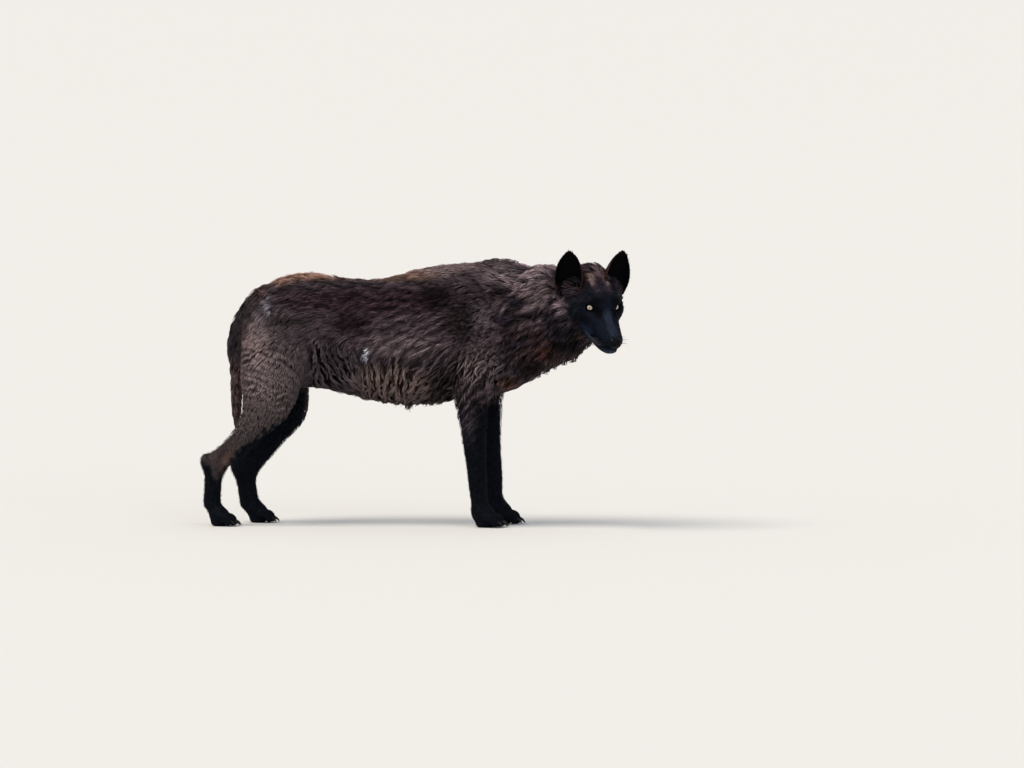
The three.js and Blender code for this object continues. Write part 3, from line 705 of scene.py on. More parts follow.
corners, faces = surface_net(eared_grid)
corners = grid_low + corners * CELL
skin_mesh = bpy.data.meshes.new("skin")
skin_mesh.from_pydata(corners.tolist(), [], faces.tolist())
work = bmesh.new()
work.from_mesh(skin_mesh)
for level in (1, 2, 3):
    work.verts.ensure_lookup_table()
    middles = np.array([face.calc_center_median() for face in work.faces])
    chosen = fine_places(middles, level)
    edges = {edge for face, pick in zip(work.faces, chosen) if pick for edge in face.edges}
    bmesh.ops.subdivide_edges(work, edges=list(edges), cuts=1, use_grid_fill=True)
bmesh.ops.triangulate(work, faces=work.faces[:])
work.to_mesh(skin_mesh)
work.free()
points = np.empty(len(skin_mesh.vertices) * 3)
skin_mesh.vertices.foreach_get("co", points)
points = points.reshape(-1, 3).astype(np.float32)
edges = np.empty(len(skin_mesh.edges) * 2, int)
skin_mesh.edges.foreach_get("vertices", edges)
edges = edges.reshape(-1, 2)


def settled(part):
    """Short-haired skin on its exact form; skin under a deep coat on the smoothed grid."""
    here, coat = points[part], depth[part]
    near_ear = near_ears(here, 9, -0.1)
    exact = here.copy()
    for chosen, rounds, limit in ((near_ear, 5, 1.2), (~near_ear, 2, 6.0)):
        if chosen.any():
            exact[chosen] = settle(here[chosen], lambda p: skin_form(p, depth=coat[chosen])[0],
                                   rounds=rounds, limit=limit)
    loose = here.astype(float)
    for _ in range(2):
        height, out = felt(loose)
        loose = loose - out * height[:, None]
    loose[:, 2] = np.maximum(loose[:, 2], 0)
    return exact + (loose - exact) * (smooth(coat, *UNDER_DEEP_COAT) * clear_of_ears(here))[:, None]


parts_of = [np.arange(i, min(i + SLICE, len(points))) for i in range(0, len(points), SLICE)]
for _ in range(2):
    points = eased(points, edges)
    depth = in_chunks(skin_form, points)[1]
    with ThreadPoolExecutor(4) as pool:
        points = np.concatenate(list(pool.map(settled, parts_of)))
for _ in range(2):
    points += (eased(points, edges) - points) * (1 - clear_of_ears(points))[:, None]

# The lids part over the eyeball, and the lips press into a fine line.
LIP_GROOVE = 2.0
LIP_HALF_WIDTH = 1.5
held = in_head(points)
for s in (1, -1):
    away, slit = lid_parts(held, s)
    open_share = (1 - smooth(slit, -0.2, 0.9)) * (away < 23)
    sink = (away - EYE_RADIUS + 1.8) * open_share
    held = held - (held - EYE_PLACE[s]) / np.maximum(away, 1)[:, None] * sink[:, None]
pressed = LIP_GROOVE * np.exp(-(path_distance(on_left(held), LIPS) / LIP_HALF_WIDTH) ** 2)
skin_depth, skin_weights = in_chunks(skin_form, points)[1:]
triangles = np.empty(len(skin_mesh.polygons) * 3, int)
skin_mesh.polygons.foreach_get("vertices", triangles)
triangles = triangles.reshape(-1, 3)
a, b, c = (points[triangles[:, k]] for k in range(3))
cross = np.cross(b - a, c - a)
areas = np.linalg.norm(cross, axis=1) / 2
skin_normals = np.zeros((len(points), 3))
for k in range(3):
    for axis in range(3):
        skin_normals[:, axis] += np.bincount(triangles[:, k], cross[:, axis], len(points))
skin_normals = unit(skin_normals + 1e-12)


def from_head(held):
    """Design points from places in the head's own forward, left and up."""
    return EYES_MIDDLE + held @ HEAD_AXES


skin_points = from_head(held) - skin_normals * pressed[:, None]


# ---- Markings and painted shading ------------------------------------------------------------------
# A dark wolf part way through its moult: blue black on face, ears and legs, purplish brown on trunk and
# thighs, tan along the back and rump, tan streaks on the crown. The blue in the blacks and the purple in
# the browns are partly painted bluish sky light, the tops of back, rump and neck are lighter partly by
# painted highlight, and some patches are painted shade, as noted at each. Skin and hair take the same
# marks and shading.
COAT_COLOURS = {"trunk": "#3b3235", "neck": "#392e30", "head": "#0c121d", "fore": "#44393c",
                "hind": "#4d4444", "paw": "#0e1118", "tail": "#2b2629"}
LEG_BLACK = "#0b0f16"
# colour, middle, reach along x, y and z, strength; a wide reach along y marks both sides
PATCHES = [
    ("#43383d", (0, 0, 580), (420, 400, 90), 0.8),
    ("#5f5154", (20, 0, 522), (150, 400, 42), 0.8),
    ("#2f2127", (-80, 0, 655), (340, 400, 48), 0.9),
    # The next five lie along the top of back and rump: tan and reddish hair, lighter partly by painted
    # highlight from above.
    ("#6f5750", (-185, 0, 734), (90, 110, 26), 0.8),
    ("#93705f", (-275, 0, 744), (115, 130, 34), 0.95),
    ("#8c6c5f", (-352, 0, 726), (56, 130, 34), 0.85),
    ("#735a50", (0, 0, 732), (170, 110, 26), 1.0),
    ("#746362", (140, 0, 752), (115, 100, 40), 1.0),
    ("#1a0e12", (-139, 0, 590), (66, 400, 34), 0.9),
    ("#83706e", (-414, 0, 540), (50, 400, 62), 0.9),
    ("#6e6060", (-385, 0, 440), (95, 400, 115), 0.9),
    ("#54484b", (-304, 0, 480), (60, 400, 70), 0.6),
    ("#6f6a71", (-385, 0, 632), (24, 400, 40), 0.8),
    ("#62575a", (-402, 0, 590), (26, 400, 60), 0.7),
    ("#211b1b", (-322, 0, 596), (80, 400, 15), 0.8),
    ("#262023", (-172, 0, 470), (92, 400, 88), 0.9),
    ("#534641", (-12, 0, 412), (125, 400, 56), 0.85),
    ("#1c1715", (132, 0, 405), (70, 400, 66), 0.9),
    ("#160e11", (110, 0, 664), (66, 400, 50), 0.95),
    ("#241e21", (190, 0, 600), (76, 400, 78), 0.9),
    ("#584c4d", (238, 0, 470), (70, 400, 80), 0.85),
    ("#554a4e", (246, 0, 605), (40, 400, 50), 0.8),
    ("#150f11", (285, 0, 694), (50, 400, 32), 0.95),
    ("#251d1c", (165, 0, 590), (34, 400, 90), 0.5),
    ("#130f10", (333, 0, 575), (32, 400, 110), 0.85),
    ("#120e0d", (378, -80, 462), (50, 150, 36), 0.85),
    ("#483329", (314, 0, 412), (30, 400, 26), 0.8),
    # Top of the neck: brown hair, lighter partly by painted highlight from above.
    ("#77676a", (360, -70, 738), (125, 130, 48), 0.95),
    ("#5e5153", (408, -137, 655), (48, 90, 40), 0.8),
    ("#241e22", (440, -150, 608), (48, 90, 36), 0.85),
    ("#2f2123", (400, -120, 540), (90, 130, 44), 0.85),
    ("#39221a", (446, -120, 503), (44, 130, 26), 0.95),
    # Under the jaw on the throat: black hair, darkened further by painted shadow of the jaw.
    ("#0b0a0a", (500, -140, 540), (48, 120, 48), 0.95),
    ("#b2afbc", (-93, -108, 500), (14, 40, 26), 1.0),
]
# The same on the head: forward, aside on both sides, and above the eyes.
HEAD_PATCHES = [
    ("#0c1119", (-40, 82, -45), (36, 42, 50), 0.9),
    ("#6a5a60", (-78, 110, -46), (24, 34, 28), 0.85),
    ("#5c5055", (-64, 98, -74), (20, 30, 20), 0.7),
    # Below the cheek ruff: black hair, darkened further by painted shadow of the jaw.
    ("#151419", (-74, 110, -106), (34, 40, 34), 0.9),
    ("#2a303e", (44, 0, -5), (50, 15, 16), 0.9),
    ("#242a38", (88, 0, -23), (50, 18, 16), 0.85),
    # The next two are painted shade in the hollows between the eyes and the bridge of the nose.
    ("#030407", (6, 30, 20), (18, 27, 14), 1.0),
    ("#030407", (26, 27, -4), (22, 12, 20), 1.0),
    ("#070b13", (15, 56, -40), (28, 20, 20), 0.7),
    ("#1a2536", (30, 52, -66), (54, 20, 16), 0.7),
    ("#2d3a4c", (55, 40, -73), (55, 14, 8), 0.8),
    ("#3a4651", (100, 0, -86), (26, 26, 13), 0.8),
    ("#0d1018", (-46, 52, 26), (34, 18, 28), 0.9),
    ("#75605b", (-72, 25, 56), (42, 12, 22), 0.8),
    ("#2a1d23", (-72, 0, 62), (48, 7, 22), 0.95),
    ("#2b242d", (-28, 16, 41), (22, 18, 16), 0.75),
    ("#5f4e50", (-100, 0, 66), (26, 46, 28), 0.9),
]
EAR_BLACK = "#030406"
EAR_BACK = "#3d2829"


def shade(code):
    return np.array(linear(code))


def lay_mark_and_shading(base, share, code):
    """Lays a colour over the base by its share at each place; used for markings and for painted shade and
    highlight.
    """
    return base + np.reshape(share, (-1, 1)) * (shade(code) - base)


def coat_marks_and_shading(points, weights):
    """The coat's colour at each place, linear, with its painted shade and highlight laid in."""
    x, y, z = points.T
    base = weights @ np.array([shade(COAT_COLOURS[group]) for group in GROUPS])
    share = dict(zip(GROUPS, weights.T))
    ragged = z + 13 * ripple(points, 30, 5)
    # Below the thighs the hind legs' inner sides, and the shanks ahead of a slanting line that takes in the
    # far hind leg, are black: partly dark hair and partly painted shade.
    inner_black_and_shade = smooth(80 - np.abs(y), -2, 22) * (1 - smooth(z, 375, 425))
    front = np.interp(z, (60, 135, 223, 261, 295, 340), (-560, -525, -465, -412, -352, -300))
    shin_black_and_shade = smooth(x - front + 9 * ripple(points, 26, 8), -8, 14) * (1 - smooth(z, 300, 330))
    socks_and_shade = share["fore"] * (1 - smooth(ragged, 345, 375))
    socks_and_shade = socks_and_shade + share["hind"] * np.maximum(np.maximum(1 - smooth(ragged - 40 * smooth(-x, 530, 550),
                                                                               130, 180), shin_black_and_shade), inner_black_and_shade)
    coated = share["trunk"] + share["neck"] + share["hind"] + share["fore"]
    for code, middle, reach, strength in PATCHES:
        away = np.sqrt((((points - middle) / reach) ** 2).sum(axis=1))
        base = lay_mark_and_shading(base, strength * (1 - smooth(away, 0.45, 1.2)) * coated, code)
    mottle = ripple(points, 62, 6)
    base = lay_mark_and_shading(base, 0.75 * share["neck"] * smooth(mottle, 0.1, 0.75), "#1d1a22")
    # Pale grey-pink patches high on the neck are painted highlight on the hair.
    base = lay_mark_and_shading(base, 0.5 * share["neck"] * smooth(-mottle, 0.2, 0.9) * smooth(z, 560, 640), "#6c5c63")
    base = lay_mark_and_shading(base, 0.6 * share["fore"] * np.exp(-((ragged - 392) / 13) ** 2), "#6a5c61")
    # The point of the hock: dark brown hair, darkened further by painted shade.
    hock_brown_and_shade = np.exp(-(((x + 505) / 30) ** 2 + ((z - 200) / 40) ** 2))
    base = lay_mark_and_shading(base, 0.9 * share["hind"] * hock_brown_and_shade, "#3d3133")
    streak = np.exp(-(((x + 500 - 0.5 * (z - 190)) / 10) ** 2 + ((z - 190) / 30) ** 2))
    base = lay_mark_and_shading(base, 0.8 * share["hind"] * streak, "#755c52")
    brush = np.interp(z, (480, 540, 599, 634, 690), (-463, -447, -430, -402, -385))
    brush = smooth(brush - x + 10 * ripple(points, 40, 9), -8, 16) * smooth(z, 470, 500)
    base = lay_mark_and_shading(base, 0.85 * brush * coated, "#2c2427")
    base = lay_mark_and_shading(base, 0.5 * brush * coated * smooth(z, 610, 680), "#5c4742")
    base = lay_mark_and_shading(base, np.clip(socks_and_shade + share["paw"], 0, 1), LEG_BLACK)
    # A lighter brownish streak down the back of the foreleg from the elbow: brown hair, lighter partly by
    # painted highlight.
    elbow_brown_and_highlight = np.exp(-(((x - 208) / 22) ** 2 + ((ragged - 322) / 50) ** 2))
    base = lay_mark_and_shading(base, 0.8 * share["fore"] * elbow_brown_and_highlight, "#4c444a")
    held = in_head(points)
    folded = on_left(held)
    near_head = np.clip(share["head"] + share["neck"] * smooth(held[:, 0], -130, -95), 0, 1)
    for code, middle, reach, strength in HEAD_PATCHES:
        away = np.sqrt((((folded - middle) / reach) ** 2).sum(axis=1))
        base = lay_mark_and_shading(base, strength * (1 - smooth(away, 0.4, 1.25)) * near_head, code)
    rim = path_distance(folded, LIPS) - 2
    for s in (1, -1):
        reach, slit = lid_parts(held, s)
        rim = np.minimum(rim, np.where(reach < 26, slit, FAR))
    base = lay_mark_and_shading(base, (1 - smooth(rim, 1, 5)) * near_head, "#020204")
    base = lay_mark_and_shading(base, 0.8 * share["tail"] * (1 - smooth(z, 450, 510)), "#4e3e3e")
    near = np.flatnonzero(clear_of_ears(points) < 1)
    for ear in EARS:
        raw, turn, off, thick, inside = ear_place(ear, points[near])
        on = (1 - smooth(off, 5, 11)) * smooth(raw, 0.0, 0.2)
        back = smooth(np.abs(turn), 0.35, 0.95) * ~inside
        base[near] = lay_mark_and_shading(base[near], on, EAR_BLACK)
        base[near] = lay_mark_and_shading(base[near], on * (0.25 + 0.6 * back) * ~inside, EAR_BACK)
    return base


def ripple(points, length, seed):
    """Smooth wandering values between about -1 and 1 whose swells are the given length."""
    draw = np.random.default_rng(seed)
    total = np.zeros(len(points))
    for _ in range(5):
        way = unit(draw.normal(size=3)) * (2 * math.pi / length) * draw.uniform(0.7, 1.4)
        total += np.sin(points @ way + draw.uniform(0, 2 * math.pi))
    return total / 2.6


def add_vectors(mesh, name, values):
    made = mesh.attributes.new(name, "FLOAT_VECTOR", "POINT")
    made.data.foreach_set("vector", np.ascontiguousarray(values, np.float32).ravel())


def add_marks_and_shading(mesh, colours):
    made = mesh.attributes.new("marks_and_shading", "FLOAT_COLOR", "POINT")
    opaque = np.concatenate([colours, np.ones((len(colours), 1))], axis=1)
    made.data.foreach_set("color", np.ascontiguousarray(opaque, np.float32).ravel())


skin_mesh.vertices.foreach_set("co", place(skin_points).astype(np.float32).ravel())
skin_mesh.polygons.foreach_set("use_smooth", [True] * len(skin_mesh.polygons))
skin_mesh.update()
add_marks_and_shading(skin_mesh, coat_marks_and_shading(skin_points, skin_weights))

# Hide under short hair: the lying hairs, about a millimetre across in their bundles, give it a fine
# grain, and it has no gloss.
HAIR_GRAIN = 1.2  # millimetres
NOISE_SWELLS = 6  # a noise texture's finest swells to one unit of its scale
hide, tree = material("short_haired_hide")
marks_and_shading = node(tree, "Attribute", {"attribute_name": "marks_and_shading"})
where = node(tree, "TexCoord")
grain = node(tree, "TexNoise", {"Scale": 1000 / HAIR_GRAIN / NOISE_SWELLS, "Detail": 4},
             Vector=where.outputs["Object"])
cloud = node(tree, "TexNoise", {"Scale": 45, "Detail": 3}, Vector=where.outputs["Object"])
tone = node(tree, "MapRange", {"From Min": 0.3, "From Max": 0.7, "To Min": 0.45, "To Max": 1.3}, Value=grain)
clouded = node(tree, "MapRange", {"To Min": 0.6, "To Max": 1.1}, Value=cloud)
both = node(tree, "Math", {"operation": "MULTIPLY"}, i0=tone, i1=clouded)
tinted = node(tree, "VectorMath", {"operation": "SCALE"}, i0=marks_and_shading, Scale=both)
rough = node(tree, "Bump", {"Strength": 0.6, "Distance": 0.0012}, Height=grain)
surface = node(tree, "BsdfPrincipled", {"Roughness": 0.7, "Specular IOR Level": 0.04},
               **{"Base Color": tinted, "Normal": rough})
node(tree, "OutputMaterial", Surface=surface)
skin_mesh.materials.append(hide)


def add_piece(name, mesh, slot, *replaced):
    """A finished mesh becomes a piece that rides with the animal and stands for CAD nodes."""
    piece = in_scene(name, mesh)
    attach(piece, "root")
    if replaced:
        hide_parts(*replaced)
    return piece


add_piece("skin", skin_mesh, "coat_brown", "trunk", "neck", "head", "tail", "ear_left", "ear_right",
          "foreleg_left", "foreleg_right", "thigh_left", "thigh_right", "shank_left", "shank_right",
          "forepaw_left", "forepaw_right", "hindpaw_left", "hindpaw_right")

# ---- Eyes ------------------------------------------------------------------------------------------
# Each eyeball is a ball with the clear cornea's bulge in front, a pale yellow iris and a small round
# pupil, all under one wet surface. It sits free in its socket, turned toward what the animal watches.
IRIS_RADIUS = 8.4
PUPIL_RADIUS = 2.2
CORNEA_RISE = 1.1
CORNEA_TURN = 0.75
RAMP_MM = 10
EYE_LOOK = {-1: unit((0.827, -0.467, 0.313)), 1: unit((0.934, 0.055, 0.353))}
wet_eye, tree = material("glassy_wet_eyeball")
spot = node(tree, "Attribute", {"attribute_name": "iris"})
parts = node(tree, "SeparateXYZ", Vector=spot.outputs["Vector"])
spread = node(tree, "VectorMath", {"operation": "MULTIPLY", "i1": (0.25, 5, 5)}, i0=spot.outputs["Vector"])
fibres = node(tree, "TexNoise", {"Scale": 3.0, "Detail": 3}, Vector=spread)
wobble = node(tree, "MapRange", {"From Min": 0.3, "From Max": 0.7, "To Min": -0.25, "To Max": 0.25},
              Value=fibres)
ragged = node(tree, "Math", {"operation": "ADD"}, i0=parts.outputs["X"], i1=wobble)
along_ramp = node(tree, "Math", {"operation": "MULTIPLY", "i1": 1 / RAMP_MM}, i0=ragged)
rings = node(tree, "ValToRGB", i0=along_ramp)
for stop, code in ((PUPIL_RADIUS, "#050505"), (PUPIL_RADIUS + 0.4, "#8f7c46"), (3.2, "#dbd1b6"),
                   (IRIS_RADIUS - 1.2, "#cfc2a4"), (IRIS_RADIUS - 0.3, "#5f4c2a"), (IRIS_RADIUS, "#120d0b"),
                   (IRIS_RADIUS + 0.9, "#2a201c")):
    step = rings.color_ramp.elements.new(stop / RAMP_MM)
    step.color = (*linear(code), 1)
for spare in (rings.color_ramp.elements[-1], rings.color_ramp.elements[0]):
    rings.color_ramp.elements.remove(spare)
surface = node(tree, "BsdfPrincipled", {"Roughness": 0.35, "Coat Weight": 0.6, "Coat Roughness": 0.03},
               **{"Base Color": rings})
node(tree, "OutputMaterial", Surface=surface)


def smooth_mesh(name, points, faces, finish):
    """A smooth-shaded mesh from design points."""
    mesh = bpy.data.meshes.new(name)
    mesh.from_pydata(place(points).tolist(), [], faces)
    mesh.polygons.foreach_set("use_smooth", [True] * len(faces))
    mesh.materials.append(finish)
    return mesh


polar = np.concatenate([np.linspace(0, 0.9, 17), np.linspace(1.0, math.pi, 12)])
around = np.linspace(0, 2 * math.pi, 36, endpoint=False)
for s, side_name in ((-1, "right"), (1, "left")):
    axis = EYE_LOOK[s]
    a_way = unit(np.cross(axis, (0, 0, 1)))
    b_way = np.cross(axis, a_way)
    reach = EYE_RADIUS + CORNEA_RISE * (1 + np.cos(math.pi * np.clip(polar / CORNEA_TURN, 0, 1))) / 2
    ball, iris = [], []
    for angle, far in zip(polar[1:-1], reach[1:-1]):
        for turn in around:
            out = math.cos(angle) * axis + math.sin(angle) * (math.cos(turn) * a_way + math.sin(turn) * b_way)
            ball.append(EYE_PLACE[s] + far * out)
            from_pupil = far * math.sin(angle) if angle < 1.5 else EYE_RADIUS
            iris.append((from_pupil, math.cos(turn), math.sin(turn)))
    ball += [EYE_PLACE[s] + reach[0] * axis, EYE_PLACE[s] - EYE_RADIUS * axis]
    iris += [(0, 0, 0), (EYE_RADIUS, 0, 0)]
    n, last = len(around), len(ball) - 2
    faces = [(last, k, (k + 1) % n) for k in range(n)]
    for ring in range(len(polar) - 3):
        faces += [(ring * n + k, (ring + 1) * n + k, (ring + 1) * n + (k + 1) % n, ring * n + (k + 1) % n)
                  for k in range(n)]
    end = (len(polar) - 3) * n
    faces += [(end + (k + 1) % n, end + k, last + 1) for k in range(n)]
    eye_mesh = smooth_mesh(f"eyeball_{side_name}", from_head(np.array(ball)), faces, wet_eye)
    add_vectors(eye_mesh, "iris", np.array(iris))
    add_piece(f"eyeball_{side_name}", eye_mesh, "eye", f"eye_{side_name}")

# ---- Nose ------------------------------------------------------------------------------------------
# The nose pad is bare black leather, pebbled and damp, with two comma-shaped nostrils and the groove
# that runs down from it to the lip. It caps the end of the muzzle.
NOSE_MIDDLE = (118, 0, -44)
NOSE_SIZES = (17.5, 19.5, 15)
NOSE_BACK = 113
PEBBLE = 1.3  # half the width of one, in millimetres


def nose_form(points):
    """Signed distance to the nose pad, from points in the head's own directions."""
    f, l, u = points.T
    side = np.abs(l)
    narrow = 1 - 0.4 * smooth(-u, 46, 60)
    blocky = (np.abs((f - NOSE_MIDDLE[0]) / NOSE_SIZES[0]) ** 3 + (side / narrow / NOSE_SIZES[1]) ** 3
              + np.abs((u - NOSE_MIDDLE[2]) / NOSE_SIZES[2]) ** 2.6) ** (1 / 2.8)
    pad = -melt((1 - blocky) * NOSE_SIZES[2], f - NOSE_BACK, 3)
    for path, radius in (([(138, 8.4, -42), (130, 8.8, -43)], 4.0), ([(136, 10, -43), (127, 19.5, -49)], 2.4),
                         ([(137, 0, -42), (134, 0, -62)], 1.0)):
        pad = -melt(-pad, path_distance(on_left(points), path) - radius, 2.5)
    return pad


NOSE_CELL = 0.9
nose_low, nose_high = np.array((112, -26, -66)), np.array((144, 26, -24))
axes = [np.arange(low, high, NOSE_CELL) for low, high in zip(nose_low, nose_high)]
places = np.stack([a.ravel() for a in np.meshgrid(*axes, indexing="ij")], axis=1)
corners, faces = surface_net(nose_form(places).reshape([len(a) for a in axes]))
corners = settle(nose_low + corners * NOSE_CELL, nose_form, limit=0.6).astype(float)
leather, tree = material("damp_nose_leather")
where = node(tree, "TexCoord")
pebbles = node(tree, "TexVoronoi", {"Scale": 1000 / PEBBLE / 2}, Vector=where.outputs["Object"])
relief = node(tree, "Bump", {"Strength": 0.5, "Distance": 0.0004, "invert": True},
              Height=pebbles.outputs["Distance"])
surface = node(tree, "BsdfPrincipled",
               {"Base Color": (*linear("#030304"), 1), "Roughness": 0.4, "Specular IOR Level": 0.08},
               Normal=relief)
node(tree, "OutputMaterial", Surface=surface)
add_piece("nose_pad", smooth_mesh("nose_pad", from_head(corners), faces.tolist(), leather), "nose_leather",
          "nose")

# ---- Claws and whiskers ----------------------------------------------------------------------------
# Sixteen blunt, curved claws of dark horn, each growing out of the end of a toe. The whiskers are stiff
# black bristles rooted in rows on the muzzle and in a tuft over each eye.


def tube(path, radii, around, shift):
    """Corners and faces of a closed tapering tube; shift is the number of corners made before it."""
    path = np.array(path, float)
    ways = unit(np.gradient(path, axis=0))
    corners, faces = [], []
    for spot, way, radius in zip(path, ways, radii):
        side = unit(np.cross(way, (0.3, 0.2, 1)))
        for k in range(around):
            a = 2 * math.pi * k / around
            corners.append(spot + radius * (math.cos(a) * side + math.sin(a) * np.cross(side, way)))
    for ring in range(len(path) - 1):
        for k in range(around):
            a, b = ring * around + k, ring * around + (k + 1) % around
            faces.append([shift + v for v in (a, a + around, b + around, b)])
    faces.append([shift + k for k in range(around)])
    faces.append([shift + len(path) * around - 1 - k for k in range(around)])
    return corners, faces


def horn_piece(name, tubes, finish, around):
    corners, faces = [], []
    for path, radii in tubes:
        more, made = tube(path, radii, around, len(corners))
        corners += more
        faces += made
    add_piece(name, smooth_mesh(name, corners, faces, finish), "coat_black")


horn, tree = material("dark_claw_horn")
where = node(tree, "TexCoord")
layers = node(tree, "TexNoise", {"Scale": 400, "Detail": 2}, Vector=where.outputs["Object"])
tint = node(tree, "Mix", {"data_type": "RGBA", "A": (*linear("#0e0b0a"), 1), "B": (*linear("#241e1b"), 1)},
            Factor=layers)
surface = node(tree, "BsdfPrincipled", {"Roughness": 0.5, "Specular IOR Level": 0.15},
               **{"Base Color": tint.outputs["Result"]})
node(tree, "OutputMaterial", Surface=surface)
claws = []
for paw, (_, _, _, size) in PAWS.items():
    for toe in TOES:
        tip = toe_tip(toe)
        path = [on_paw(paw, tip + f, (18.4 + f / 20) * toe, u)
                for f, u in ((2, 17), (8, 16.5), (13, 14), (17, 10.5), (20, 6.5), (21.5, 3))]
        claws.append((path, np.array((4.2, 4.0, 3.4, 2.6, 1.7, 0.5)) * size))
horn_piece("claws", claws, horn, 8)

bristle, tree = material("black_bristle")
surface = node(tree, "BsdfPrincipled", {"Base Color": (*linear("#0c0c0f"), 1), "Roughness": 0.5})
node(tree, "OutputMaterial", Surface=surface)
draw = np.random.default_rng(77)
held = in_head(skin_points)
whiskers = []
for s in (1, -1):
    on_muzzle = [(f, u) for u in (-64, -60, -56) for f in (78, 88, 98, 107)]
    for f, u in on_muzzle + [(-2, 22), (3, 20), (-8, 23)]:
        spot = np.array([f, 0, u]) + draw.normal(size=3) * (1.5, 0, 1)
        gap = np.hypot(held[:, 0] - spot[0], held[:, 2] - spot[2]) + 100 * (held[:, 1] * s < 8)
        root = held[gap.argmin()]
        over_eye = (0.2, 0.5 * s, 1.0), 22, 32
        on_lip = (-0.55, 1.0 * s, -0.25), 38, 62
        lean, shortest, longest = over_eye if u > 0 else on_lip
        way = unit(np.array(lean) + draw.normal(size=3) * 0.12)
        long = draw.uniform(shortest, longest)
        sag = np.array([-0.25, 0, -0.3]) * long
        path = [root + way * long * t + sag * t * t for t in (-0.04, 0.25, 0.5, 0.75, 1.0)]
        whiskers.append((from_head(np.array(path)), (0.42, 0.36, 0.28, 0.18, 0.05)))
horn_piece("whiskers", whiskers, bristle, 4)

# ---- Coat ------------------------------------------------------------------------------------------
# Guard hair in tufts. Each tuft is a thin three-sided lick that leaves the skin, climbs to the coat's
# outer form and lies down along it; neighbours draw together into pointed locks, as loose moulting hair
# does. Long on neck, flank and tail, short on legs, shortest on face and feet.
ROOT_SINK = 1.5


def along_skin(lie, out):
    return unit(lie - out * (lie * out).sum(axis=1, keepdims=True) + 1e-9)


def coat_zones(points):
    """Where the coat falls in folds and locks of its own: shares, and how far the folds slant."""
    x, y, z = points.T
    fold = smooth(x, -268, -232) * (1 - smooth(x, -145, -90)) * (1 - smooth(z, 525, 575))
    belly = smooth(x, -130, -85) * (1 - smooth(x, 235, 275)) * (1 - smooth(z, 465, 545))
    haunch = (1 - smooth(x, -335, -280)) * smooth(z, 315, 355) * (1 - smooth(z, 500, 560))
    return fold, belly, haunch, 0.15 + 0.45 * smooth(x, -240, -140), 0.1 + 0.75 * smooth(x, -10, 110)


def coat_lie(points, weights):
    """The way the hair lies, before it is laid flat on the skin."""
    x, y, z = points.T
    f, l, u = in_head(points).T
    zero = np.zeros(len(points))
    s = np.tanh(y / 30)
    height = np.interp(x, (-340, 45, 285), (380, 344, 396))
    height = np.clip((z - height) / (730 - height), 0, 1)
    drop = np.interp(height, (0, 0.3, 0.6, 0.85, 1), (1.0, 0.9, 0.5, 0.22, 0.08))
    back = np.interp(height, (0, 0.3, 0.6, 1), (0.35, 0.7, 1, 1))
    rump = 1 - smooth(x, -380, -260)
    trunk = np.stack([-back * (1 - 0.4 * rump), 0.1 * s, -drop - 0.5 * rump], axis=1)
    fold, belly, _, lean, slope = coat_zones(points)
    trunk += fold[:, None] * (np.stack([lean, 0.1 * s, zero - 1], axis=1) - trunk)
    trunk += 0.8 * belly[:, None] * (np.stack([-slope, 0.1 * s, zero - 1], axis=1) - trunk)
    neck = np.stack([zero - 0.87, zero + 0.35, -0.28 - 0.75 * (1 - smooth(z, 560, 700))], axis=1)
    sidewards = np.tanh(l / 25)
    cheek = smooth(np.abs(l), 30, 60)
    head = (-FORWARD + np.outer(0.3 * sidewards + 0.25 * sidewards * cheek, LEFT)
            - np.outer(0.35 * cheek + 0.15 * (u < -40), UP))
    head[:, 2] -= 0.5 * smooth(-f, 50, 100) * cheek
    fore = np.stack([zero - 0.18, zero, zero - 1], axis=1)
    hind = np.stack([-0.25 - 0.35 * smooth(z, 300, 480), 0.05 * s, zero - 1], axis=1)
    paw = np.stack([zero + 0.75, 0.1 * np.sin(y), zero - 0.5], axis=1)
    tail = np.stack([-0.35 * smooth(z, 480, 600), zero, zero - 1], axis=1)
    ways = np.stack([trunk, neck, head, fore, hind, paw, tail], axis=1)
    lie = unit((ways * weights[:, :, None]).sum(axis=1))
    near = np.flatnonzero(clear_of_ears(points) < 1)
    for ear, (_, along, _, facing) in EARS.items():
        raw, _, off, _, inside = ear_place(ear, points[near])
        on = ((1 - smooth(off, 7, 14)) * smooth(raw, -0.02, 0.15))[:, None]
        lie[near] += on * (along + 0.25 * facing * inside[:, None] - lie[near])
    return lie


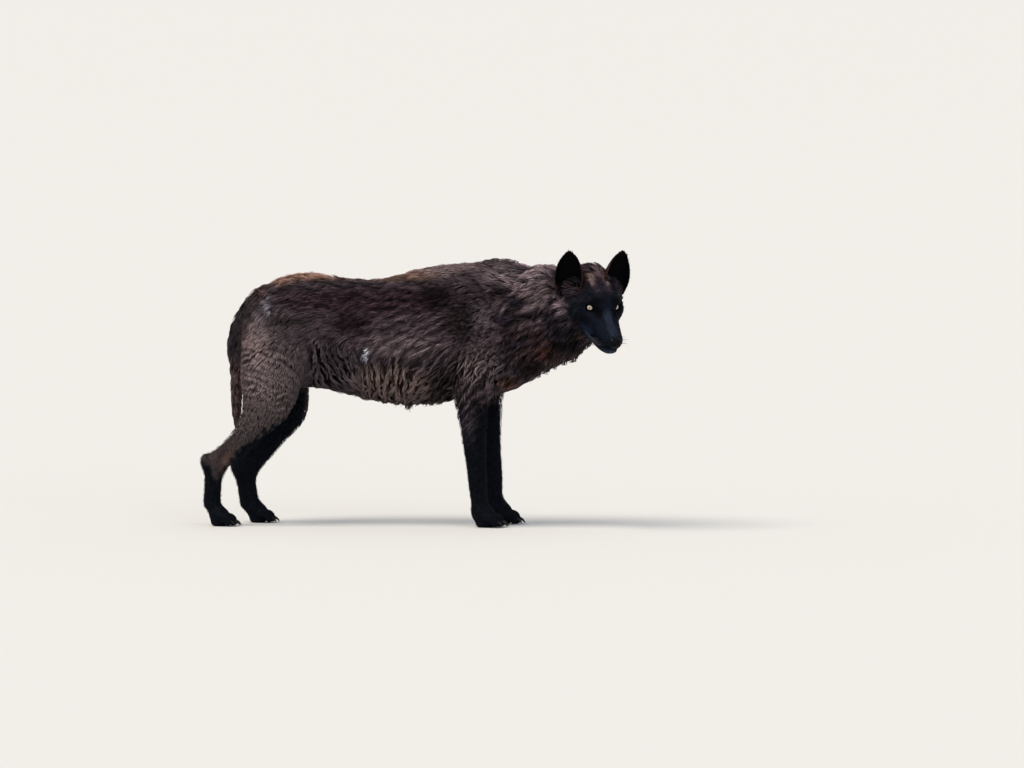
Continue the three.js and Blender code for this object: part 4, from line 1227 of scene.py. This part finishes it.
def coat_relief(points):
    """Folds and locks in the coat: how high it stands, its colour's scale with painted shade in the troughs
    and painted highlight on the crests, and a pull toward their crests.
    """
    x, y, z = points.T
    wander = 0.7 * ripple(points, 120, 41) + 0.3 * ripple(points, 50, 42)
    high, tone, pull = np.ones(len(points)), np.ones(len(points)), np.zeros((len(points), 3))
    fold, belly, haunch, lean, slope = coat_zones(points)
    fold = fold * smooth(z, 400, 445)
    flank = smooth(x, -160, -60) * (1 - smooth(x, 140, 200)) * smooth(z, 490, 530) * (1 - smooth(z, 650, 690))
    upper = smooth(z, 590, 630) * (1 - smooth(x, 60, 130))
    shoulder = smooth(x, 70, 130) * (1 - smooth(x, 270, 330)) * smooth(z, 430, 500)
    neck = smooth(x, 270, 330) * (1 - smooth(x, 500, 560))
    calm = 0.35 + 0.65 * smooth(ripple(points, 80, 45), -0.6, 0.5)
    # dark and light scale the colour in each fold's trough and on its crest: painted shade and painted
    # highlight.
    for share, run, spacing, sway, deep, dark, light, way in (
            (fold, x + lean * (z - 470), 21, 5, 0.7, 0.03, 3.1, (0.6, 0, 0)),
            (belly, x - slope * (z - 440), 27, 9, 0.45, 0.25, 1.75, (0.4, 0, 0)),
            (haunch * calm, z + 0.3 * x, 19, 15, 0.45, 0.45, 1.65, (0, 0, 0.2)),
            (flank, z - 0.55 * x, 26, 12, 0.15, 0.65, 1.5, (0, 0, 0.1)),
            (upper, z + 0.05 * x, 27, 24, 0.25, 0.55, 1.55, (0, 0, 0.1)),
            (shoulder, z + 1.2 * x, 23, 13, 0.2, 0.62, 1.4, (0, 0, 0.1)),
            (neck, z - 0.5 * x, 32, 18, 0.3, 0.5, 1.5, (0.1, 0, 0.15))):
        phase = 2 * math.pi * (run + sway * wander) / spacing
        crest = 0.5 + 0.5 * np.cos(phase)
        high *= 1 - share * deep * (1 - crest) ** 2
        tone *= 1 + share * (dark + (light - dark) * crest ** 1.8 - 1)
        pull -= (share * np.sin(phase))[:, None] * way
    hanging = (1 - smooth(z, 350, 400)) * smooth(x, -280, -240) * (1 - smooth(x, 150, 200))
    throat = smooth(x, 360, 430) * (1 - smooth(x, 520, 570)) * (1 - smooth(z, 500, 570))
    high *= 1 + 0.35 * hanging * ripple(points, 22, 43) + throat * (0.5 + 0.4 * ripple(points, 25, 44))
    return high, tone, pull


def scatter(chosen, count, seed):
    """Even but unruled places on the chosen triangles: their points, normals, depths and weights."""
    draw = np.random.default_rng(seed)
    index = np.flatnonzero(chosen)
    share = np.cumsum(areas[index])
    stops = (np.arange(count) + draw.random(count)) / count * share[-1]
    picked = triangles[index[np.searchsorted(share, stops).clip(0, len(index) - 1)]]
    a, b = np.sqrt(draw.random(count)), draw.random(count)
    mix = np.stack([1 - a, a * (1 - b), a * b], axis=1)

    def mixed(values):
        return (values[picked] * (mix if values.ndim == 1 else mix[:, :, None])).sum(axis=1)

    return (mixed(skin_points), unit(mixed(skin_normals)), mixed(skin_depth), mixed(skin_weights))


OVER_FLOOR = 0.4  # the lowest that a tip may hang, in millimetres
TUFT_PATCH = 0.003  # a tuft's own share of the unwrap, edge to edge


def tuft_pattern(rings):
    """Corner numbers and local map corners of one tuft's faces: three-sided rings, then a tip."""
    faces, spots = [[2, 1, 0]], [[(1, 0), (0.5, 0), (0, 0)]]
    tip = 3 * rings
    for ring in range(rings):
        low, high = ring / rings, (ring + 1) / rings
        for k in range(3):
            a, b = 3 * ring + k, 3 * ring + (k + 1) % 3
            left, right = k / 3, (k + 1) / 3
            if ring == rings - 1:
                faces.append([a, b, tip])
                spots.append([(left, low), (right, low), ((left + right) / 2, high)])
            else:
                faces += [[a, b, b + 3], [a, b + 3, a + 3]]
                spots += [[(left, low), (right, low), (right, high)],
                          [(left, low), (right, high), (left, high)]]
    return np.array(faces), np.array(spots, float)


def grow_tufts(name, slot, finish, roots, out, lie, depth, length, width, marks_and_shading_at, chart, seed,
               rings=3, clump=0.6, per_lock=9, wave=None, follow=True, thick=0.25, vary=0.35, stray=0.5,
               tip_height=0.92):
    """Makes one coat piece. Lengths, widths, depths and clumping are per tuft, in millimetres."""
    draw = np.random.default_rng(seed)
    count = len(roots)
    tree_of = kdtree.KDTree(max(count // per_lock, 1))
    centres = draw.choice(count, max(count // per_lock, 1), replace=False)
    for number, index in enumerate(centres):
        tree_of.insert(roots[index], number)
    tree_of.balance()
    lock = np.array([tree_of.find(point)[1] for point in roots])
    centre = centres[lock]
    by_lock = draw.random((len(centres), 4))[lock]
    own = draw.random((count, 4))
    size = (0.72 + 0.42 * by_lock[:, 0]) * (0.85 + 0.3 * own[:, 0])
    rise = (0.84 + 0.2 * by_lock[:, 1]) * (0.88 + 0.2 * own[:, 1])
    length, width = length * size, width * (0.8 + 0.4 * own[:, 2])
    lean = (by_lock[:, 2] - 0.5) * stray + (own[:, 3] - 0.5) * 0.7 * stray
    stops = np.linspace(0, 1, rings + 1)
    spots = [roots - out * ROOT_SINK]
    outs, fold_shading = [], [np.ones(count)]
    at = spots[0]
    aside = np.cross(out, along_skin(lie, out))
    lie = unit(lie) + aside * lean[:, None]
    for before, stop in zip(stops[:-1], stops[1:]):
        high, tone, pull = coat_relief(at)
        fold_shading.append(tone)
        way = along_skin(lie + pull, out)
        outs.append(out)
        low, top = np.interp((before, stop), (0, 0.2, 0.45, 0.7, 1), (0, 0.5, 0.88, 1.0, tip_height))
        target = depth * high * rise * top
        climb = depth * high * rise * (top - low)
        stretch, least = length * (stop - before), 0.2 * length ** 2 / rings ** 2
        run = np.sqrt(np.maximum(stretch ** 2 - climb ** 2, least))
        at = at + way * run[:, None]
        if wave is not None:
            sideways, spacing = wave
            phase = 2 * math.pi * length / spacing
            turn = by_lock[:, 3] * 2 * math.pi
            sway = sideways * (np.sin(phase * stop + turn) - np.sin(phase * before + turn))
            at = at + np.cross(out, way) * sway[:, None]
        if follow:
            height, out = felt(at)
            at = at + out * (target - height)[:, None]
        else:
            at = at + out * climb[:, None]
        spots.append(at)
    for k, stop in enumerate(stops):
        pull = clump * stop ** 1.3
        spots[k] = spots[k] + (spots[k][centre] - spots[k]) * np.reshape(pull, (-1, 1))
    corners = np.empty((count, 3 * rings + 1, 3), np.float32)
    shape = np.interp(stops, (0, 0.35, 0.7, 1), (0.7, 1.0, 0.6, 0.0))
    for k in range(rings):
        way = unit(spots[k + 1] - spots[max(k - 1, 0)])
        up = unit(outs[k] - way * (outs[k] * way).sum(axis=1, keepdims=True))
        across = np.cross(way, up) * (width * shape[k] / 2)[:, None]
        up = up * (width * shape[k] * thick)[:, None]
        corners[:, 3 * k] = spots[k] - across
        corners[:, 3 * k + 1] = spots[k] + up
        corners[:, 3 * k + 2] = spots[k] + across
    corners[:, -1] = spots[-1]
    corners[:, :, 2] = np.maximum(corners[:, :, 2], OVER_FLOOR)
    pattern, local = tuft_pattern(rings)
    step = 3 * rings + 1
    faces = (pattern[None] + (np.arange(count) * step)[:, None, None]).reshape(-1, 3)
    mesh = bpy.data.meshes.new(name)
    mesh.vertices.add(count * step)
    mesh.vertices.foreach_set("co", place(corners.reshape(-1, 3)).astype(np.float32).ravel())
    mesh.loops.add(faces.size)
    mesh.loops.foreach_set("vertex_index", faces.ravel().astype(np.int32))
    mesh.polygons.add(len(faces))
    mesh.polygons.foreach_set("loop_start", np.arange(0, faces.size, 3, dtype=np.int32))
    mesh.polygons.foreach_set("use_smooth", [True] * len(faces))
    spot = chart[:, None, None, :] + TUFT_PATCH * local[None]
    layer = mesh.uv_layers.new(name="OFBake")
    layer.data.foreach_set("uv", np.ascontiguousarray(spot, np.float32).ravel())
    mesh.update(calc_edges=True)
    # Each tuft's colour is the coat's marks, times the folds' painted shade and highlight along it.
    tuft_marks_and_shading = marks_and_shading_at(spots[-2]) * (1 + vary * (2 * by_lock[:, 3:4] - 1)) * (0.85 + 0.3 * own[:, 3:4])
    fold_shading = np.repeat(np.stack(fold_shading, axis=1), [3] * rings + [1], axis=1)
    marks_with_shading = (tuft_marks_and_shading[:, None, :] * fold_shading[:, :, None]).reshape(-1, 3)
    add_marks_and_shading(mesh, marks_with_shading)
    along = np.tile(np.append(np.repeat(stops[:-1], 3), 1), count)
    across_it = np.tile(np.append(np.tile((0, 0.5, 1.0), rings), 0.5), count)
    chance = np.repeat(own[:, 3], step)
    add_vectors(mesh, "lock", np.stack([along, across_it, chance], axis=1))
    mesh.materials.append(finish)
    return add_piece(name, mesh, slot)


def tile(along, aside, up, box=(0, 0, 1, 1)):
    """Places on the unwrap: the run along a body part and the turn round it, spread over a box."""
    low_u, low_v, high_u, high_v = box
    spread = [(v - v.min()) / max(np.ptp(v), 1e-6) for v in (along, np.arctan2(aside, up))]
    room = 1 - 2 * TUFT_PATCH
    return np.stack([low_u + (TUFT_PATCH + spread[0] * room) * (high_u - low_u) - TUFT_PATCH / 2,
                     low_v + (TUFT_PATCH + spread[1] * room) * (high_v - low_v) - TUFT_PATCH / 2], axis=1)


# Guard hair: dark at the root, lighter toward the tip, with a faint streak along each hair bundle.
def hair_finish(name, root_tone, tip_tone):
    made, tree = material(name)
    marks_and_shading = node(tree, "Attribute", {"attribute_name": "marks_and_shading"})
    lock = node(tree, "Attribute", {"attribute_name": "lock"})
    parts = node(tree, "SeparateXYZ", Vector=lock.outputs["Vector"])
    climb = node(tree, "MapRange", {"From Max": 0.9, "To Min": root_tone, "To Max": tip_tone},
                 Value=parts.outputs["X"])
    spread = node(tree, "VectorMath", {"operation": "MULTIPLY", "i1": (1.5, 7, 60)},
                  i0=lock.outputs["Vector"])
    streak = node(tree, "TexNoise", {"Scale": 1.0, "Detail": 2}, Vector=spread)
    tone = node(tree, "MapRange", {"From Min": 0.3, "From Max": 0.7, "To Min": 0.72, "To Max": 1.28},
                Value=streak)
    both = node(tree, "Math", {"operation": "MULTIPLY"}, i0=climb, i1=tone)
    tinted = node(tree, "VectorMath", {"operation": "SCALE"}, i0=marks_and_shading, Scale=both)
    ridge = node(tree, "Bump", {"Strength": 0.4, "Distance": 0.0006}, Height=streak)
    surface = node(tree, "BsdfPrincipled", {"Roughness": 0.6, "Specular IOR Level": 0.04},
                   **{"Base Color": tinted, "Normal": ridge})
    node(tree, "OutputMaterial", Surface=surface)
    return made


long_hair = hair_finish("guard_hair_long", 0.25, 1.75)
sleek_hair = hair_finish("guard_hair_sleek", 0.45, 1.35)
short_hair = hair_finish("guard_hair_short", 0.55, 1.3)

middles = skin_points[triangles].mean(axis=1)
region = skin_weights[triangles].mean(axis=1).argmax(axis=1)
held = in_head(middles)
on_ear = near_ears(middles, 7, 0.08)
bare = np.zeros(len(middles), bool)
for s in (1, -1):
    away, slit = lid_parts(held, s)
    bare |= (away < 19) & (slit < 1.2)
bare |= (path_distance(on_left(held), LIPS) < 2.2) | (nose_form(held) < 1.5)
bare |= (middles[:, 2] < 7) | (skin_normals[triangles[:, 0], 2] < -0.9) & (middles[:, 2] < 30)


def in_region(*names):
    return np.isin(region, [GROUPS.index(name) for name in names]) & ~bare & ~on_ear


def coat_size(points, weights):
    """Length and width of the tufts at each place, in millimetres."""
    x, y, z = points.T
    f, l, u = in_head(points).T
    ruff = ruff_share(f, l, u)
    face = np.interp(-f, (-130, -30, 0, 40, 80, 110), (4, 6, 8, 14, 26, 38))
    long = np.stack([np.interp(z, (350, 480, 560, 740), (62, 60, 64, 58)),
                     np.interp(z, (480, 640), (54, 62)),
                     face + (44 - face) * ruff,
                     np.interp(z, (60, 235, 320, 400, 480), (10, 13, 20, 32, 46)),
                     np.interp(z, (60, 180, 260, 340, 430, 560), (12, 15, 20, 25, 28, 38)),
                     np.full(len(points), 8.0),
                     np.interp(z, (288, 400, 480, 540, 600), (30, 34, 42, 52, 56))], axis=1)
    wide = np.stack([np.interp(z, (450, 560), (4.6, 3.8)), np.full(len(points), 4.8),
                     np.interp(-f, (-130, -30, 40, 80), (1.3, 1.8, 2.6, 4)) * (1 - ruff) + 4.2 * ruff,
                     np.interp(z, (235, 320, 400), (1.6, 2.4, 4)),
                     np.interp(z, (180, 260, 340), (1.6, 2.6, 4.2)),
                     np.full(len(points), 1.5), np.full(len(points), 4.0)], axis=1)
    sleek = smooth(x, 160, 205) * (1 - smooth(x, 300, 350)) * (1 - smooth(z, 640, 700)) * weights[:, 0]
    length, width = ((table * weights).sum(axis=1) for table in (long, wide))
    return length * (1 - 0.45 * sleek), width * (1 - 0.25 * sleek)


SEEDS = iter(range(11, 1000, 10))


def coat_piece(name, slot, finish, chosen, count, charts, sizes=None, most=None, **extra):
    """Scatters tufts over the chosen skin and grows them; charts gives each root its unwrap place."""
    seed = next(SEEDS)
    roots, out, depth, weights = scatter(chosen, count, seed)
    length, width = coat_size(roots, weights)
    if sizes is not None:
        depth, length, width = (np.full(len(roots), size) for size in sizes)
    lie = coat_lie(roots, weights)
    drift = ripple(roots, 110, 7)[:, None] * 0.22
    lie = lie + np.cross(out, lie) * drift
    if most is not None:
        depth, length = np.minimum(depth, most[0]), np.minimum(length, most[1])
    return grow_tufts(name, slot, finish, roots, out, lie, depth, length, width,
                      lambda spots: coat_marks_and_shading(spots, weights), charts(roots), seed + 1, **extra)


BELLY_TOP, THIGH_END, BACK_HALF = 500, 290, 20
NECK_AXIS, NECK_SIDE = np.array((400, -30, 600)), np.array((0.40, 0.9, 0))


# Each of these gives the roots of a piece their places on its unwrap.
def round_trunk(points):
    x, y, z = points.T
    return tile(x, np.abs(y), z - 560)


def round_thigh(points):
    x, y, z = points.T
    return tile(z, np.abs(y) - 70, x + 370)


def round_legs(points):
    x, y, z = points.T
    return np.where((x > -100)[:, None], tile(z, np.abs(y) - 78, x - 240, (0, 0, 0.5, 1)),
                    tile(z, np.abs(y) - 82, x + 480, (0.5, 0, 1, 1)))


def round_neck(points):
    return tile(points[:, 0], np.abs((points - NECK_AXIS) @ NECK_SIDE), points[:, 2] - NECK_AXIS[2])


def round_head(points):
    f, l, u = in_head(points).T
    return tile(f, l, u + 40)


def round_tail(points):
    x, y, z = points.T
    line = np.array(TAIL_LINE[::-1])
    return tile(z, y, x - np.interp(z, line[:, 2], line[:, 0]))


def over_ears(points):
    spots = np.zeros((len(points), 2))
    for number, ear in enumerate(EARS):
        raw, share, off, _, inside = ear_place(ear, points)
        mine = off < 12
        spots[mine] = np.stack([0.02 + 0.22 * (share + 1) + 0.5 * number, 0.03 + 0.42 * raw + 0.5 * inside],
                               axis=1)[mine]
    return spots


def over_paws(points):
    spots = np.zeros((len(points), 2))
    for number, (x, y, _, _) in enumerate(PAWS.values()):
        rel = points - (x, y, 0)
        mine = np.hypot(rel[:, 0], rel[:, 1]) < 90
        turn = np.arctan2(rel[:, 1], rel[:, 0]) / (2 * math.pi) + 0.5
        spots[mine] = np.stack([0.01 + 0.47 * turn + 0.5 * (number % 2),
                                0.02 + 0.004 * rel[:, 2] + 0.5 * (number // 2)], axis=1)[mine]
    return spots


low_thigh = middles[:, 2] <= THIGH_END
upper = in_region("trunk") & (middles[:, 2] > BELLY_TOP)
lower = in_region("trunk") & ~upper
right = middles[:, 1] < 0
right_neck = (middles - NECK_AXIS) @ NECK_SIDE < 0
fore = middles[:, 0] > BACK_HALF
for side_name, side, neck_side in (("right", right, right_neck), ("left", ~right, ~right_neck)):
    for end_name, end in (("fore", fore), ("rear", ~fore)):
        coat_piece(f"coat_back_{end_name}_{side_name}", "coat_brown", sleek_hair, upper & side & end, 7300,
                   round_trunk, clump=0.4, per_lock=10, wave=(2.0, 48), stray=0.2, tip_height=0.86)
    coat_piece(f"coat_belly_{side_name}", "coat_brown", long_hair, lower & side, 4700, round_trunk,
               clump=0.72, per_lock=14, rings=5, wave=(2.2, 32))
    coat_piece(f"coat_thigh_{side_name}", "coat_brown", sleek_hair,
               in_region("hind") & side & ~low_thigh, 6000, round_thigh,
               clump=0.4, per_lock=7, stray=0.25, vary=0.2, tip_height=0.86)
    coat_piece(f"coat_legs_{side_name}", "coat_black", short_hair,
               ((in_region("hind") & low_thigh) | in_region("fore")) & side, 4700, round_legs,
               clump=0.3, rings=2, thick=0.16, vary=0.2)
    coat_piece(f"coat_neck_{side_name}", "coat_brown", long_hair, in_region("neck") & neck_side, 6300,
               round_neck, clump=0.62, per_lock=12)
coat_piece("coat_tail", "coat_tail", long_hair, in_region("tail"), 2700, round_tail, clump=0.6)
deep_coat = (skin_depth[triangles].mean(axis=1) > 4.5) & (clear_of_ears(middles) > 0.3)
coat_piece("coat_crown", "coat_black", long_hair, in_region("head") & deep_coat, 5000, round_head,
           clump=0.5, per_lock=8)
lying = {"rings": 2, "follow": False, "thick": 0.16}
coat_piece("coat_face", "coat_black", short_hair, in_region("head") & ~deep_coat, 9400, round_head,
           clump=0.25, vary=0.25, stray=0.35, most=(4, 16), **lying)
coat_piece("coat_ears", "coat_black", short_hair, on_ear & ~bare, 3200, over_ears,
           clump=0.2, vary=0.2, stray=0.25, sizes=(1.0, 7, 1.6), **lying)
coat_piece("coat_paws", "coat_black", short_hair, in_region("paw"), 2700, over_paws,
           clump=0.2, vary=0.2, **lying)
